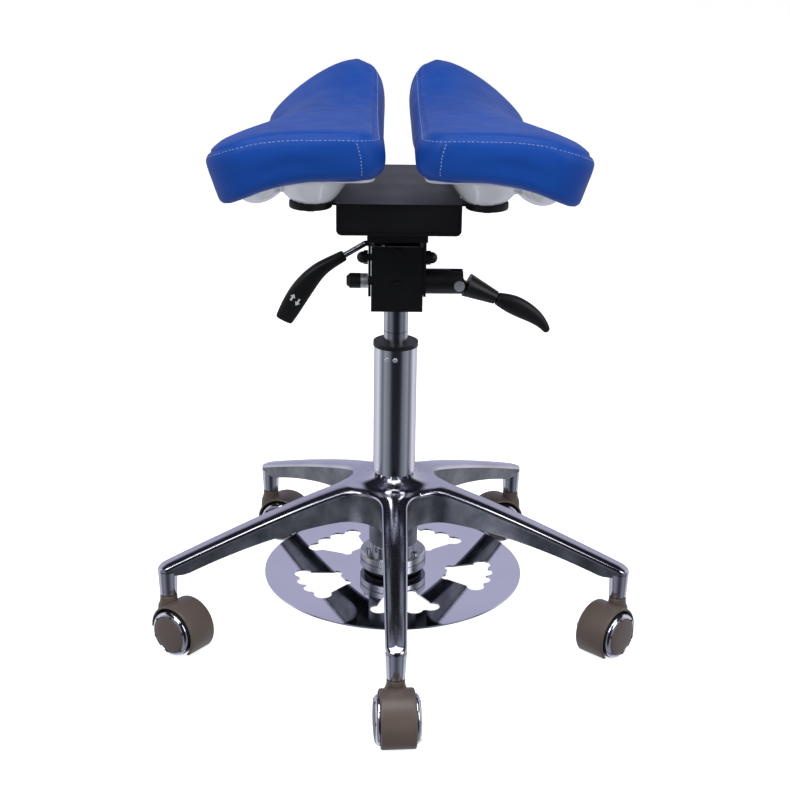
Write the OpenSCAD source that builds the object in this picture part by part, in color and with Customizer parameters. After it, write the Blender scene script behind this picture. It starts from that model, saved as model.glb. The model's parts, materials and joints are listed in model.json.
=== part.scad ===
// Saddle stool on a five-arm star base with twin-wheel casters, a gas lift with a tilting foot
// disc at its foot, a tilt mechanism with two levers, and a seat in two padded halves.
// Millimetres. The origin is on the column's axis at floor level, +Z up, -Y is the wide end
// of the seat, where its front arm and front caster also point.

/* [Casters] */
// Diameter of a caster wheel
wheel_d = 55; // [45:1:62]
// Distance from the swivel axis to the axle
trail = 21; // [18:0.5:24]
// Width over the outer faces of the two wheels
caster_w = 51; // [44:1:60]
// Width of the hood over the wheels
hood_w = 38; // [32:1:42]
// Wall of the hood
hood_wall = 2.5; // [2:0.5:4]
// Height from the top of a wheel to the boss of the star above it
neck_rise = 10; // [9:0.5:16]
// Diameter of the hood's neck
neck_d = 20; // [17:0.5:24]
// Diameter of the swivel stem
stem_d = 11; // [8:0.5:12]
// Diameter of the axle
axle_d = 6; // [4:0.5:8]

/* [Star base] */
// Radius of the circle through the caster stems
stem_circle_r = 275; // [240:1:320]
// Width of an arm where it leaves the hub
arm_w_hub = 31; // [26:1:36]
// Width of an arm at its stem
arm_w_end = 23; // [20:1:27]
// Radius of the concave corner between two arms
web_r = 40; // [20:1:60]
// Diameter of the hub
hub_d = 58; // [56:1:70]
// Height of the boss at the end of an arm
boss_h = 35; // [30:1:45]
// Height of the arm's top above the boss's underside, beside the hub
arm_top_hub = 110; // [90:1:130]
// Thickness of the top skin over the hollow underside of an arm
arm_skin = 7; // [5:0.5:9]
// Thickness of the side walls of an arm
arm_wall = 4; // [3:0.5:6]

/* [Gas lift] */
// Outer diameter of the standing tube
tube_d = 50; // [45:1:53]
// Wall of the standing tube
tube_wall = 1.5; // [1.2:0.1:3]
// Height of the standing tube's top above the boss's underside
tube_top = 278; // [260:1:320]
// Diameter of the gas cylinder
gas_d = 28; // [25:1:30]
// Length of gas cylinder between the guide bush and the seat mechanism
gas_shown = 45; // [40:1:120]
// Diameter of the piston rod
rod_d = 10; // [8:0.5:12]
// Length of the guide bush inside the tube
bush_len = 70; // [50:1:90]

/* [Foot disc] */
// Diameter of the foot disc
disc_d = 310; // [280:1:330]
// Thickness of the foot disc
disc_t = 2; // [1.5:0.5:3]
// Depth of the disc's plane below the boss's underside
disc_drop = 8; // [6:0.5:12]
// Radius of the ball that the disc tilts on
ball_r = 10; // [9:0.5:12]
// Diameter of the clamping collar above the disc
collar_d = 79; // [70:1:90]

/* [Seat mechanism] */
// Width of the lower box
box_w = 58; // [50:1:64]
// Depth of the lower box
box_depth = 70; // [64:1:80]
// Height of the lower box
box_h = 75; // [70:1:85]
// Thickness of the steel plates
plate_t = 3; // [2:0.5:4]
// Distance of the two cross bolts in front of the column's axis
bolt_y = 23; // [22:0.5:26]
// Height of the tilt pivot above the lower box's underside
pivot_up = 60; // [54:1:64]
// Height of the clamp rod above the lower box's underside
clamp_up = 33; // [30:1:36]
// Diameter of the tilt pivot bolt
pivot_d = 8; // [6:0.5:10]
// Diameter of the clamp rod
clamp_d = 10; // [8:0.5:11]
// Outer diameter of the clamp tube
clamp_tube_d = 28.5; // [24:0.5:32]

/* [Seat] */
// Width of the channel under the seat
channel_w = 133; // [110:1:145]
// Height of the channel
channel_h = 34; // [28:1:40]
// Length of the channel
channel_len = 210; // [190:1:230]
// Height of the channel's underside above the lower box's underside
channel_up = 105; // [98:1:115]
// Distance of the rubber pucks from the centre line
puck_x = 94; // [88:1:105]
// Distance of the puck rows from the middle of the channel
puck_y = 84; // [70:1:90]
// Diameter of a rubber puck
puck_d = 46; // [40:1:50]
// Gap between the two cushions
cushion_gap = 25; // [15:1:40]
// Half width of the seat at its wide front end
seat_half_w = 195; // [180:1:210]
// Length of a cushion, front to rear
cushion_len = 366; // [340:1:390]
// Height of the cushion's top above the channel's underside, at the front
cushion_up = 119; // [110:1:130]
// Rise of the rear end above the front
rear_rise = 33; // [20:1:45]
// Thickness of a cushion
cushion_t = 44; // [36:1:52]

/* [Clearances] */
// Radial running clearance of a shaft in its bore
run_gap = 0.05; // [0.03:0.01:0.09]
// Gap between pieces that are fixed to each other
fix_gap = 0.02; // [0.01:0.01:0.05]
// Gap between plates that slide past each other, and under soft pieces
slide_gap = 0.3; // [0.2:0.05:0.6]
// Air between a wheel's tread and its hood
wheel_gap = 2.5; // [2:0.5:4]

/* [Hidden] */
$fn = 64;
// Where each arm points, and where each caster's axle lies from its stem, in degrees
arm_angles = [-90, -18, 54, 126, 198];
caster_headings = [-86, -134, -160, -20, -37];
caster_count = len(arm_angles);
shell_t = 3;
pan_gap = 0.8;
lever_z_up = 72;
// Derived heights and radii
wheel_r = wheel_d / 2;
hood_in_r = wheel_r + wheel_gap;
hood_r = hood_in_r + hood_wall;
boss_z = wheel_d + neck_rise;
web_half = 3.5;
wheel_in = web_half + 0.5;
wheel_out = caster_w / 2;
axle_half = wheel_out - 5;
stem_low = wheel_r + sqrt(hood_in_r * hood_in_r - pow(trail - stem_d / 2, 2)) + 1;
stem_high = boss_z + boss_h - 9;
arm_tip_r = stem_circle_r + arm_w_end / 2;
top_flat_r = 58;
arm_h_end = boss_h;
under_hub = 68;
under_end = 25;
hub_low = boss_z + 30;
hub_high = boss_z + 117;
tube_r = tube_d / 2;
tube_low = boss_z + 14;
tube_high = boss_z + tube_top;
tube_floor_t = 4;
bearing_h = 5;
bearing_low = tube_low + tube_floor_t;
bush_high = tube_high + 5;
gas_r = gas_d / 2;
rod_r = rod_d / 2;
box_z = bush_high + gas_shown;
gas_low = boss_z + 90;
gas_high = box_z + 60;
gas_bore_r = gas_r - 3;
gland_t = 8;
gas_cap_z = gas_high - 16;
rod_low = tube_low - 5.5;
piston_z = gas_low + 118;
shoulder_z = bearing_low + bearing_h + run_gap;
ball_z = boss_z - disc_drop;
washer_t = 2;
cup_wall = 4;
stem_r_in = 2;
collar_low = boss_z + 1;
collar_high = boss_z + 19.5;
pin_r = 4;
pin_high = box_z + lever_z_up - 2.5;
lever_z = box_z + lever_z_up;
lever_x = -16;
lever_y = -8;
lever_rod_r = 3.25;
pivot_z = box_z + pivot_up;
clamp_z = box_z + clamp_up;
box_half = box_w / 2;
plate_in = box_half + slide_gap;
plate_out = plate_in + plate_t;
clamp_tube_r = clamp_tube_d / 2;
clamp_tube_x = plate_out + slide_gap;
clamp_tube_end = clamp_tube_x + 41.5;
cam_x = clamp_tube_end - 4.5;
cam_z = clamp_z - 1.5;
cam_slot = 10;
cam_d = 6;
clamp_arm = pivot_z - clamp_z;
channel_z = box_z + channel_up;
channel_top = channel_z + channel_h;
puck_low = channel_top - 8;
puck_high = channel_top + 5;
cushion_z = channel_z + cushion_up;
bolt_r = 4;
tab_t = 3;

// ---- helpers -------------------------------------------------------------------------------

function lerp(a, b, t) = a + (b - a) * t;
function clamp01(t) = min(1, max(0, t));
// Value of y at x on straight stretches between [x, y] pairs, blended smoothly at each pair
function ease(t) = t * t * (3 - 2 * t);
function along(pairs, x, i = 0) =
  i >= len(pairs) - 2 || x < pairs[i + 1][0]
    ? lerp(pairs[i][1], pairs[i + 1][1],
           ease(clamp01((x - pairs[i][0]) / (pairs[i + 1][0] - pairs[i][0]))))
    : along(pairs, x, i + 1);

// A cylinder along X or along Y between two coordinates
module bar_x(r, x0, x1, y, z) {
  translate([x0, y, z]) rotate([0, 90, 0]) cylinder(r = r, h = x1 - x0);
}
module bar_y(r, y0, y1, x, z) {
  translate([x, y0, z]) rotate([-90, 0, 0]) cylinder(r = r, h = y1 - y0);
}
// A ring from its radii and heights
module ring(r_out, r_in, z0, z1) {
  rotate_extrude() translate([r_in, z0]) square([r_out - r_in, z1 - z0]);
}
// A cylinder in the XZ plane between two points at one depth
module strut(r0, r1, a, b, y) {
  run = [b[0] - a[0], b[1] - a[1]];
  translate([a[0], y, a[1]]) rotate([0, atan2(run[0], run[1]), 0])
    cylinder(r1 = r0, r2 = r1, h = norm(run));
}
// A block between two corners
module block(low, high) {
  translate(low) cube(high - low);
}
// Places children at the stem of caster i, turned to its heading
module at_caster(i) {
  a = arm_angles[i];
  translate([stem_circle_r * cos(a), stem_circle_r * sin(a), 0])
    rotate([0, 0, caster_headings[i]]) children();
}

// ---- star base -----------------------------------------------------------------------------

arm_slope = (arm_w_hub - arm_w_end) / 2 / (stem_circle_r - top_flat_r);
function arm_half(r, inset) = arm_w_hub / 2 - arm_slope * (r - top_flat_r) - inset;
function arm_top(r, drop) =
  boss_z + arm_top_hub - drop
  - (arm_top_hub - arm_h_end) * pow(clamp01((r - top_flat_r) / (arm_tip_r - top_flat_r)), 1.15);
function arm_under(r) =
  boss_z + under_hub
  - (under_hub - under_end) * pow(clamp01((r - top_flat_r) / (stem_circle_r - 20 - top_flat_r)), 1.75);

// Corner of the star between two arms: its circle's place on the bisector, and where it meets an arm
half_turn = 180 / caster_count;
function corner_reach(inset) =
  ((web_r + inset) * sqrt(1 + arm_slope * arm_slope) + arm_half(0, inset))
  / (sin(half_turn) + arm_slope * cos(half_turn));

// Outline of the star, its concave corners rounded between neighbouring arms
module star_plan(inset) {
  r = web_r + inset;
  c = corner_reach(inset) * [cos(half_turn), sin(half_turn)];
  // Angles on the corner's circle: facing the column, and facing the arm
  facing_hub = half_turn + 180;
  facing_arm = 270 - atan(arm_slope);
  corner = [for (i = [0 : 8]) let (t = lerp(facing_hub, facing_arm, i / 8)) c + r * [cos(t), sin(t)]];
  tip = [for (t = [80 : -20 : 0]) [stem_circle_r, 0] + arm_half(stem_circle_r, inset) * [cos(t), sin(t)]];
  half = concat(corner, tip);
  n = len(half);
  one_arm = concat(half, [for (i = [n - 2 : -1 : 1]) [half[i][0], -half[i][1]]]);
  // Drawn round the column against the arms' order, so each arm's points run the other way
  polygon([for (k = [0 : caster_count - 1]) let (a = arm_angles[0] - k * 2 * half_turn)
    for (p = one_arm) [p[0] * cos(a) - p[1] * sin(a), p[0] * sin(a) + p[1] * cos(a)]]);
}

// The arms' solid: the plan, between two surfaces turned about the column
module arms_solid(inset, drop, low_drop) {
  steps = 14;
  inner_r = hub_d / 2 - 8;
  radii = [for (i = [0 : steps]) lerp(top_flat_r, arm_tip_r, i / steps)];
  top = [for (r = radii) [r, arm_top(r, drop)]];
  under = [for (i = [steps : -1 : 0]) if (radii[i] < stem_circle_r - 20)
             [radii[i], arm_under(radii[i]) - low_drop]];
  hub_top = [inner_r, hub_high - drop - 3];
  intersection() {
    rotate_extrude() polygon(concat([hub_top], top,
      [[arm_tip_r + 5, top[steps][1]], [arm_tip_r + 5, boss_z + 12 - low_drop],
       [stem_circle_r - 19, boss_z + 22 - low_drop]], under,
      [[hub_d / 2 + 12, boss_z + under_hub - 4 - low_drop],
       [hub_d / 2 + 3, boss_z + under_hub - 14 - low_drop], [inner_r, hub_low - low_drop]]));
    translate([0, 0, boss_z - 20]) linear_extrude(height = 200) star_plan(inset);
  }
}

module star_base() {
  color("#9a99a6") difference() {
    union() {
      difference() {
        arms_solid(0, 0, 0);
        difference() {
          arms_solid(arm_wall, arm_skin, 30);
          translate([0, 0, boss_z - 40]) cylinder(r = hub_d / 2 + 8, h = 200);
          for (a = arm_angles) rotate(a) translate([stem_circle_r, 0, 0])
            cylinder(r = arm_w_end / 2 + 5, h = 300);
        }
      }
      translate([0, 0, hub_low]) cylinder(r = hub_d / 2, h = hub_high - hub_low);
      for (a = arm_angles) rotate(a) translate([stem_circle_r, 0, boss_z])
        cylinder(r1 = 10, r2 = arm_w_end / 2 - 0.7, h = boss_h - 5);
    }
    translate([0, 0, hub_low - 1]) cylinder(r = tube_r + fix_gap, h = 100);
    for (a = arm_angles) rotate(a) translate([stem_circle_r, 0, boss_z - 1])
      cylinder(r = stem_d / 2 + run_gap, h = stem_high - boss_z + 2);
  }
}

// ---- standing tube, bearing and gas lift -----------------------------------------------------

module outer_tube() {
  color("#c9cad4") difference() {
    translate([0, 0, tube_low]) cylinder(r = tube_r, h = tube_high - tube_low);
    translate([0, 0, bearing_low]) cylinder(r = tube_r - tube_wall, h = tube_high - bearing_low + 1);
    translate([0, 0, tube_low - 1]) cylinder(r = rod_r + run_gap, h = tube_floor_t + 2);
  }
}

module guide_bush() {
  skirt_r = tube_r - tube_wall - fix_gap;
  color("#121214") difference() {
    union() {
      translate([0, 0, tube_high]) cylinder(r = tube_r + 1, h = bush_high - tube_high);
      translate([0, 0, tube_high - bush_len]) cylinder(r = skirt_r, h = bush_len);
    }
    translate([0, 0, tube_high - bush_len - 1])
      cylinder(r = gas_r + run_gap, h = bush_len + bush_high - tube_high + 2);
  }
}

module thrust_bearing() {
  color("#8d9096") ring(rod_r + 7, rod_r + run_gap, bearing_low, bearing_low + bearing_h);
}

// The rod stands in the tube's floor on the thrust bearing and carries the piston
module piston_rod() {
  color("#b8bac2") difference() {
    union() {
      translate([0, 0, rod_low]) cylinder(r = rod_r, h = piston_z - rod_low);
      translate([0, 0, shoulder_z]) cylinder(r = rod_r + 4, h = 4);
      translate([0, 0, piston_z]) cylinder(r = gas_bore_r - run_gap, h = 7);
    }
    translate([0, 0, rod_low - 1]) cylinder(r = stem_r_in + 0.3, h = 14);
  }
}

module rod_clip() {
  color("#5c5e63") difference() {
    ring(rod_r + 4, rod_r + fix_gap, tube_low - 3.5, tube_low - 0.1);
    block([rod_r - 2, -1.5, tube_low - 10], [rod_r + 6, 1.5, tube_low + 2]);
  }
}

module gas_cylinder() {
  color("#c2c3cb") difference() {
    translate([0, 0, gas_low]) cylinder(r = gas_r, h = gas_high - gas_low);
    translate([0, 0, gas_low + gland_t]) cylinder(r = gas_bore_r, h = gas_cap_z - gas_low - gland_t);
    translate([0, 0, gas_low - 1]) cylinder(r = rod_r + run_gap, h = gland_t + 2);
    translate([0, 0, gas_cap_z - 1]) cylinder(r = pin_r + run_gap, h = 40);
  }
}

module release_pin() {
  color("#d0d0d4") {
    translate([0, 0, gas_cap_z + 5]) cylinder(r = pin_r, h = pin_high - gas_cap_z - 8);
    translate([0, 0, pin_high - 3]) cylinder(r1 = pin_r, r2 = pin_r / 2, h = 3);
  }
}

// ---- foot control ----------------------------------------------------------------------------

screw_angles = [200, 320, 80];
screw_r = collar_d / 2 - 6.5;

module foot_collar() {
  color("#b9bcc4") difference() {
    union() {
      translate([0, 0, collar_low]) cylinder(r = collar_d / 2, h = collar_high - collar_low - 2);
      translate([0, 0, collar_high - 2]) cylinder(r1 = collar_d / 2, r2 = collar_d / 2 - 2, h = 2);
    }
    ring(collar_d / 2 + 1, collar_d / 2 - 1.5, collar_low + 8, collar_low + 9.5);
    translate([0, 0, collar_low + 4]) cylinder(r = tube_r + fix_gap, h = 40);
    translate([0, 0, collar_low - 1]) cylinder(r = tube_r - 5, h = 8);
    for (a = screw_angles) rotate(a) translate([screw_r, 0, collar_high - 12])
      cylinder(r = 2 + fix_gap, h = 20);
  }
}

module collar_screws() {
  color("#9fa2a8") for (a = screw_angles) rotate(a) translate([screw_r, 0, 0]) difference() {
    union() {
      translate([0, 0, collar_high - 11]) cylinder(r = 2, h = 11.5);
      translate([0, 0, collar_high]) cylinder(r = 4.3, h = 3.6);
    }
    translate([0, 0, collar_high + 1.6]) cylinder(r = 1.9, h = 4, $fn = 6);
  }
}

module foot_rubber_ring() {
  color("#0c0c0d") ring(collar_d / 2 - 5, tube_r - 3, boss_z - 4.5, collar_low - 0.1);
}

// The fixed stem under the tube, ending in the ball that the disc tilts on
module foot_stem() {
  flange_z = collar_low + 4;
  color("#a5a8ae") difference() {
    union() {
      translate([0, 0, flange_z]) cylinder(r = tube_r - 0.5, h = 3);
      translate([0, 0, ball_z]) cylinder(r = 6, h = flange_z - ball_z + 1);
      translate([0, 0, ball_z]) sphere(r = ball_r);
      translate([0, 0, ball_z - ball_r - 9]) cylinder(r = 4, h = ball_r + 9);
    }
    translate([0, 0, ball_z - ball_r - 20]) cylinder(r = stem_r_in + run_gap, h = 60);
  }
}

module stem_nut() {
  color("#9fa2a8") difference() {
    translate([0, 0, ball_z - ball_r - 7]) cylinder(r = 9, h = 7, $fn = 6);
    translate([0, 0, ball_z - ball_r - 8]) cylinder(r = 4 + fix_gap, h = 9);
    translate([0, 0, ball_z]) sphere(r = ball_r + fix_gap);
  }
}

module tilt_washer() {
  color("#d9c27a") translate([0, 0, ball_z]) difference() {
    intersection() {
      sphere(r = ball_r + washer_t);
      translate([0, 0, -5]) cylinder(r = 40, h = 10);
    }
    sphere(r = ball_r + run_gap);
  }
}

// One opening of the disc, with a scalloped outer edge
module disc_opening() {
  polygon([[66, -17], [104, -35], [114, -31], [114, 31], [104, 35], [66, 17]]);
  for (y = [-30, -10, 10, 30]) translate([113 - abs(y) * 0.25, y]) circle(r = 10.5);
  for (y = [-13, 13]) translate([68, y]) circle(r = 6);
}

module foot_disc() {
  cup_r = ball_r + washer_t + cup_wall;
  color("#c4c5d0") {
    translate([0, 0, ball_z - disc_t / 2]) linear_extrude(height = disc_t) difference() {
      circle(r = disc_d / 2, $fn = 128);
      circle(r = cup_r - 1);
      for (a = arm_angles) rotate(a + 7) scale(disc_d / 310) disc_opening();
    }
    translate([0, 0, ball_z]) difference() {
      translate([0, 0, -6]) cylinder(r = cup_r, h = 12);
      sphere(r = ball_r + washer_t + run_gap);
    }
  }
}

module push_rod() {
  head_z = ball_z - ball_r - 16;
  color("#8d9096") {
    translate([0, 0, head_z]) cylinder(r = stem_r_in, h = rod_low + 3.5 - head_z);
    translate([0, 0, head_z]) cylinder(r = 6, h = 3);
  }
}

// ---- seat mechanism, lower half ----------------------------------------------------------------

front_screw_heights = [31.5, 68];
front_screw_r = 2.5;
rocker_pin_r = 2.5;

// It ends below the clamp rod, which crosses close to the cylinder
module taper_socket() {
  color("#2a2a2d") ring(gas_r + 2.5, gas_r + fix_gap, box_z, clamp_z - clamp_d / 2 - 3);
}

module lower_bracket() {
  y = box_depth / 2;
  color("#0b0b0c") difference() {
    block([-box_half, -y, box_z], [box_half, y, box_z + box_h]);
    block([-box_half + plate_t, -y + plate_t, box_z + plate_t],
          [box_half - plate_t, y - plate_t, box_z + box_h + 1]);
    translate([0, 0, box_z - 1]) cylinder(r = gas_r + 2.5 + fix_gap, h = plate_t + 2);
    bar_x(pivot_d / 2 + fix_gap, -box_half - 1, box_half + 1, -bolt_y, pivot_z);
    bar_x(clamp_d / 2 + fix_gap, -box_half - 1, box_half + 1, -bolt_y, clamp_z);
    bar_y(rocker_pin_r + fix_gap, -y + plate_t / 2, y - plate_t / 2, lever_x, lever_z);
    block([-box_half - 1, lever_y - 6, lever_z - 7], [-box_half + plate_t + 1, lever_y + 6, lever_z + 9]);
    for (up = front_screw_heights) bar_y(front_screw_r + fix_gap, -y - 1, -y + plate_t + 1, 0, box_z + up);
  }
}

module bracket_screws() {
  y = box_depth / 2;
  color("#101012") for (up = front_screw_heights) difference() {
    union() {
      bar_y(front_screw_r, -y - 0.5, -y + plate_t + 1.5, 0, box_z + up);
      bar_y(4.7, -y - 2.6, -y, 0, box_z + up);
    }
    translate([0, -y - 1.2, box_z + up]) rotate([90, 0, 0]) cylinder(r = 1.8, h = 4, $fn = 6);
  }
}

module rocker_pin() {
  y = box_depth / 2 - plate_t / 2 - 0.2;
  color("#8d9096") bar_y(rocker_pin_r, -y, y, lever_x, lever_z);
}

module pivot_bolt() {
  reach = plate_out + 8;
  color("#1a1a1c") bar_x(pivot_d / 2, -reach, reach, -bolt_y, pivot_z);
}

// Two dome nuts on the ends of the pivot bolt
module pivot_nuts() {
  seat = plate_out + slide_gap;
  color("#0e0e10") for (side = [-1, 1]) translate([side * seat, -bolt_y, pivot_z])
    rotate([0, side * 90, 0]) difference() {
      union() {
        cylinder(r = 8.2, h = 5, $fn = 6);
        cylinder(r = 6.6, h = 6);
        translate([0, 0, 6]) intersection() {
          sphere(r = 6.6);
          cylinder(r = 7, h = 7);
        }
      }
      translate([0, 0, -1]) cylinder(r = pivot_d / 2 + fix_gap, h = 9.2);
    }
}

module clamp_rod() {
  seat = plate_out + slide_gap;
  color("#c6c8cf") {
    bar_x(clamp_d / 2, -seat - 19, cam_x - 10, -bolt_y, clamp_z);
    bar_x(8.3, -seat - 8, -seat, -bolt_y, clamp_z);
  }
}

module clamp_cap() {
  seat = plate_out + slide_gap + 8.1;
  color("#0e0e10") difference() {
    union() {
      bar_x(8.6, -seat - 12, -seat, -bolt_y, clamp_z);
      translate([-seat - 16, -bolt_y, clamp_z]) rotate([0, 90, 0]) cylinder(r1 = 5, r2 = 8.6, h = 4);
    }
    bar_x(clamp_d / 2 + fix_gap, -seat - 11.5, -seat + 1, -bolt_y, clamp_z);
  }
}

module clamp_tube() {
  r = clamp_tube_r;
  color("#111113") difference() {
    bar_x(r, clamp_tube_x, clamp_tube_end, -bolt_y, clamp_z);
    bar_x(clamp_d / 2 + fix_gap, clamp_tube_x - 1, cam_x - 5, -bolt_y, clamp_z);
    block([cam_x - 8.5, -bolt_y - cam_slot / 2, clamp_z - r - 1],
          [clamp_tube_end + 1, -bolt_y + cam_slot / 2, clamp_z + r + 1]);
    bar_y(cam_d / 2 + fix_gap, -bolt_y - r - 1, -bolt_y + r + 1, cam_x, cam_z);
  }
}

module cam_screw() {
  head_y = -bolt_y - clamp_tube_r;
  color("#b9bbc2") difference() {
    union() {
      bar_y(cam_d / 2, head_y - 1, -bolt_y + clamp_tube_r + 1, cam_x, cam_z);
      bar_y(6, head_y - 2.6, head_y - fix_gap, cam_x, cam_z);
    }
    translate([cam_x, head_y - 1, cam_z]) rotate([90, 0, 0]) cylinder(r = 2.5, h = 5, $fn = 6);
  }
}

// The tilt lever's route, from the cam screw outwards, as [x, z] from the screw
ferrule_a = [9.1, -2.5];
ferrule_b = [42.4, -17.3];
grip_route = [[54, -22.1], [70, -29], [90, -40.5], [102, -55.5]];
grip_radii = [9.5, 11, 8.5, 4.5];

module cam_lever() {
  half = cam_slot / 2 - slide_gap;
  slope = atan2(ferrule_b[1] - ferrule_a[1], ferrule_b[0] - ferrule_a[0]);
  color("#141416") difference() {
    union() {
      bar_y(7, -bolt_y - half, -bolt_y + half, cam_x, cam_z);
      translate([cam_x, -bolt_y, cam_z]) rotate([0, -slope, 0])
        block([1, -half + 0.3, -4.5], [12, half - 0.3, 4.5]);
      translate([cam_x, 0, cam_z]) strut(13.7, 7.6, ferrule_a, ferrule_b, -bolt_y);
    }
    bar_y(cam_d / 2 + run_gap, -bolt_y - 20, -bolt_y + 20, cam_x, cam_z);
  }
}

module tilt_grip() {
  unit = (ferrule_b - ferrule_a) / norm(ferrule_b - ferrule_a);
  seat = ferrule_b + unit * 0.1;
  color("#0d0d0f") translate([cam_x, 0, cam_z]) {
    hull() {
      strut(7.4, 7.4, seat, seat + unit * 4, -bolt_y);
      grip_bead(grip_route[0], grip_radii[0], 0.75, -bolt_y);
    }
    for (i = [1 : len(grip_route) - 1]) hull() {
      grip_bead(grip_route[i - 1], grip_radii[i - 1], 0.75 - 0.05 * i, -bolt_y);
      grip_bead(grip_route[i], grip_radii[i], 0.7 - 0.05 * i, -bolt_y);
    }
  }
}

// A flattened bead, the station of a grip
module grip_bead(place, r, flat, y) {
  translate([place[0], y, place[1]]) scale([1, flat, 1]) sphere(r = r, $fn = 24);
}

// ---- height lever ------------------------------------------------------------------------------

// The lever's rod and grip, as [x, z] from the rocker's axis
rod_bend = [-20, 0];
rod_end = [-58, -23];
socket_start = [-43, -14];
paddle_route = [[-68, -29], [-91, -54], [-107, -81], [-114, -91]];
paddle_radii = [8, 12, 11.5, 7];

module lever_rocker() {
  color("#55585e") difference() {
    union() {
      bar_y(5, -16, 5, lever_x, lever_z);
      block([lever_x, -4, lever_z - 2], [5, 4, lever_z + 2]);
      bar_x(5, lever_x - 10, lever_x, lever_y, lever_z);
    }
    bar_y(rocker_pin_r + run_gap, -20, 20, lever_x, lever_z);
    bar_x(lever_rod_r + fix_gap, lever_x - 11, lever_x - 4.5, lever_y, lever_z);
  }
}

module lever_rod(r) {
  bar_x(r, lever_x + rod_bend[0], lever_x - 4.6, lever_y, lever_z);
  translate([lever_x, 0, lever_z]) {
    translate([rod_bend[0], lever_y, rod_bend[1]]) sphere(r = r);
    strut(r, r, rod_bend, rod_end, lever_y);
  }
}

module height_lever() {
  color("#a8a9ad") lever_rod(lever_rod_r);
}

module height_grip() {
  unit = (rod_end - rod_bend) / norm(rod_end - rod_bend);
  color("#0d0d0f") translate([lever_x, 0, lever_z]) difference() {
    union() {
      hull() {
        strut(6.4, 6.4, socket_start, socket_start + unit * 4, lever_y);
        grip_bead(paddle_route[0], paddle_radii[0], 0.85, lever_y);
      }
      for (i = [1 : len(paddle_route) - 1]) hull() {
        grip_bead(paddle_route[i - 1], paddle_radii[i - 1], 0.85 - 0.12 * i, lever_y);
        grip_bead(paddle_route[i], paddle_radii[i], 0.73 - 0.12 * i, lever_y);
      }
    }
    strut(lever_rod_r + fix_gap, lever_rod_r + fix_gap, rod_bend, rod_end + unit * 0.5, lever_y);
  }
}

// ---- seat mechanism, upper half ------------------------------------------------------------------

slot_low = -104;
slot_high = -82;

// The curved slot for the clamp rod, drawn around the tilt pivot, with round ends
module clamp_slot(r) {
  half = clamp_d / 2 + 0.4;
  middle = [for (a = [slot_low, slot_high]) r * [cos(a), sin(a)]];
  outer = [for (i = [0 : 6]) let (a = lerp(slot_low, slot_high, i / 6)) (r + half) * [cos(a), sin(a)]];
  inner = [for (i = [6 : -1 : 0]) let (a = lerp(slot_low, slot_high, i / 6)) (r - half) * [cos(a), sin(a)]];
  end_high = [for (t = [30 : 30 : 150]) middle[1] + half * [cos(slot_high + t), sin(slot_high + t)]];
  end_low = [for (t = [210 : 30 : 330]) middle[0] + half * [cos(slot_low + t), sin(slot_low + t)]];
  polygon(concat(outer, end_high, inner, end_low));
}

module tilt_bracket() {
  front = -box_depth / 2 - 1;
  low = box_z + 18;
  color("#0a0a0b") difference() {
    union() {
      for (side = [-1, 1]) translate([side > 0 ? plate_in : -plate_out, 0, 0])
        rotate([90, 0, 90]) linear_extrude(height = plate_t)
          polygon([[front, low], [front + 26, low], [30, pivot_z + 16], [38, channel_z],
                   [front - 2, channel_z], [front - 2, channel_z - 24], [front, channel_z - 26]]);
      block([-plate_out - 2, front - 3, channel_z - plate_t], [plate_out + 2, 38, channel_z]);
      block([-plate_out - 1.5, front - 3, channel_z - 24], [plate_out + 1.5, front, channel_z]);
    }
    bar_x(pivot_d / 2 + run_gap, -plate_out - 1, plate_out + 1, -bolt_y, pivot_z);
    translate([-plate_out - 1, -bolt_y, pivot_z]) rotate([90, 0, 90])
      linear_extrude(height = 2 * plate_out + 2) clamp_slot(clamp_arm);
    block([-plate_out - 1, lever_y - 11, lever_z - 12], [-plate_in + 1, lever_y + 11, lever_z + 16]);
  }
}

channel_wall = 2.5;
channel_corner = 6;

// Outline of the channel, its lower corners round, drawn in from the outside by inset
module channel_outline(inset) {
  w = channel_w / 2 - inset;
  r = channel_corner - min(inset, channel_corner - 2);
  top = channel_h - inset;
  polygon([[-w, inset + r], [w, inset + r], [w, top], [-w, top]]);
  polygon([[-w + r, inset], [w - r, inset], [w - r, top], [-w + r, top]]);
  for (side = [-1, 1]) translate([side * (w - r), inset + r]) circle(r = r);
}

module along_channel(y0, y1) {
  translate([0, y1, channel_z]) rotate([90, 0, 0]) linear_extrude(height = y1 - y0) children();
}

// The tongues of the channel that carry the pucks, grown all round by a gap
module puck_tabs(gap) {
  for (sx = [-1, 1]) for (sy = [-1, 1]) {
    x0 = channel_w / 2 - channel_wall;
    x1 = puck_x + 12 + gap;
    block([sx > 0 ? x0 : -x1, sy * puck_y - 14 - gap, channel_top - tab_t - gap],
          [sx > 0 ? x1 : -x0, sy * puck_y + 14 + gap, channel_top + gap]);
  }
}

module at_pucks() {
  for (sx = [-1, 1]) for (sy = [-1, 1]) translate([sx * puck_x, sy * puck_y, 0]) children();
}

module seat_channel() {
  color("#0c0c0e") difference() {
    union() {
      along_channel(-channel_len / 2, channel_len / 2) difference() {
        channel_outline(0);
        channel_outline(channel_wall);
      }
      puck_tabs(0);
    }
    at_pucks() translate([0, 0, channel_top - 10]) cylinder(r = bolt_r + fix_gap, h = 20);
  }
}

module channel_plugs() {
  color("#060607") for (side = [-1, 1]) {
    y0 = side > 0 ? channel_len / 2 - 9 : -channel_len / 2 + 2;
    along_channel(y0, y0 + 7) channel_outline(channel_wall + fix_gap);
  }
}

module seat_pucks() {
  color("#070708") difference() {
    at_pucks() ring(puck_d / 2, bolt_r + fix_gap, puck_low, puck_high);
    puck_tabs(fix_gap);
  }
}

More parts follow.
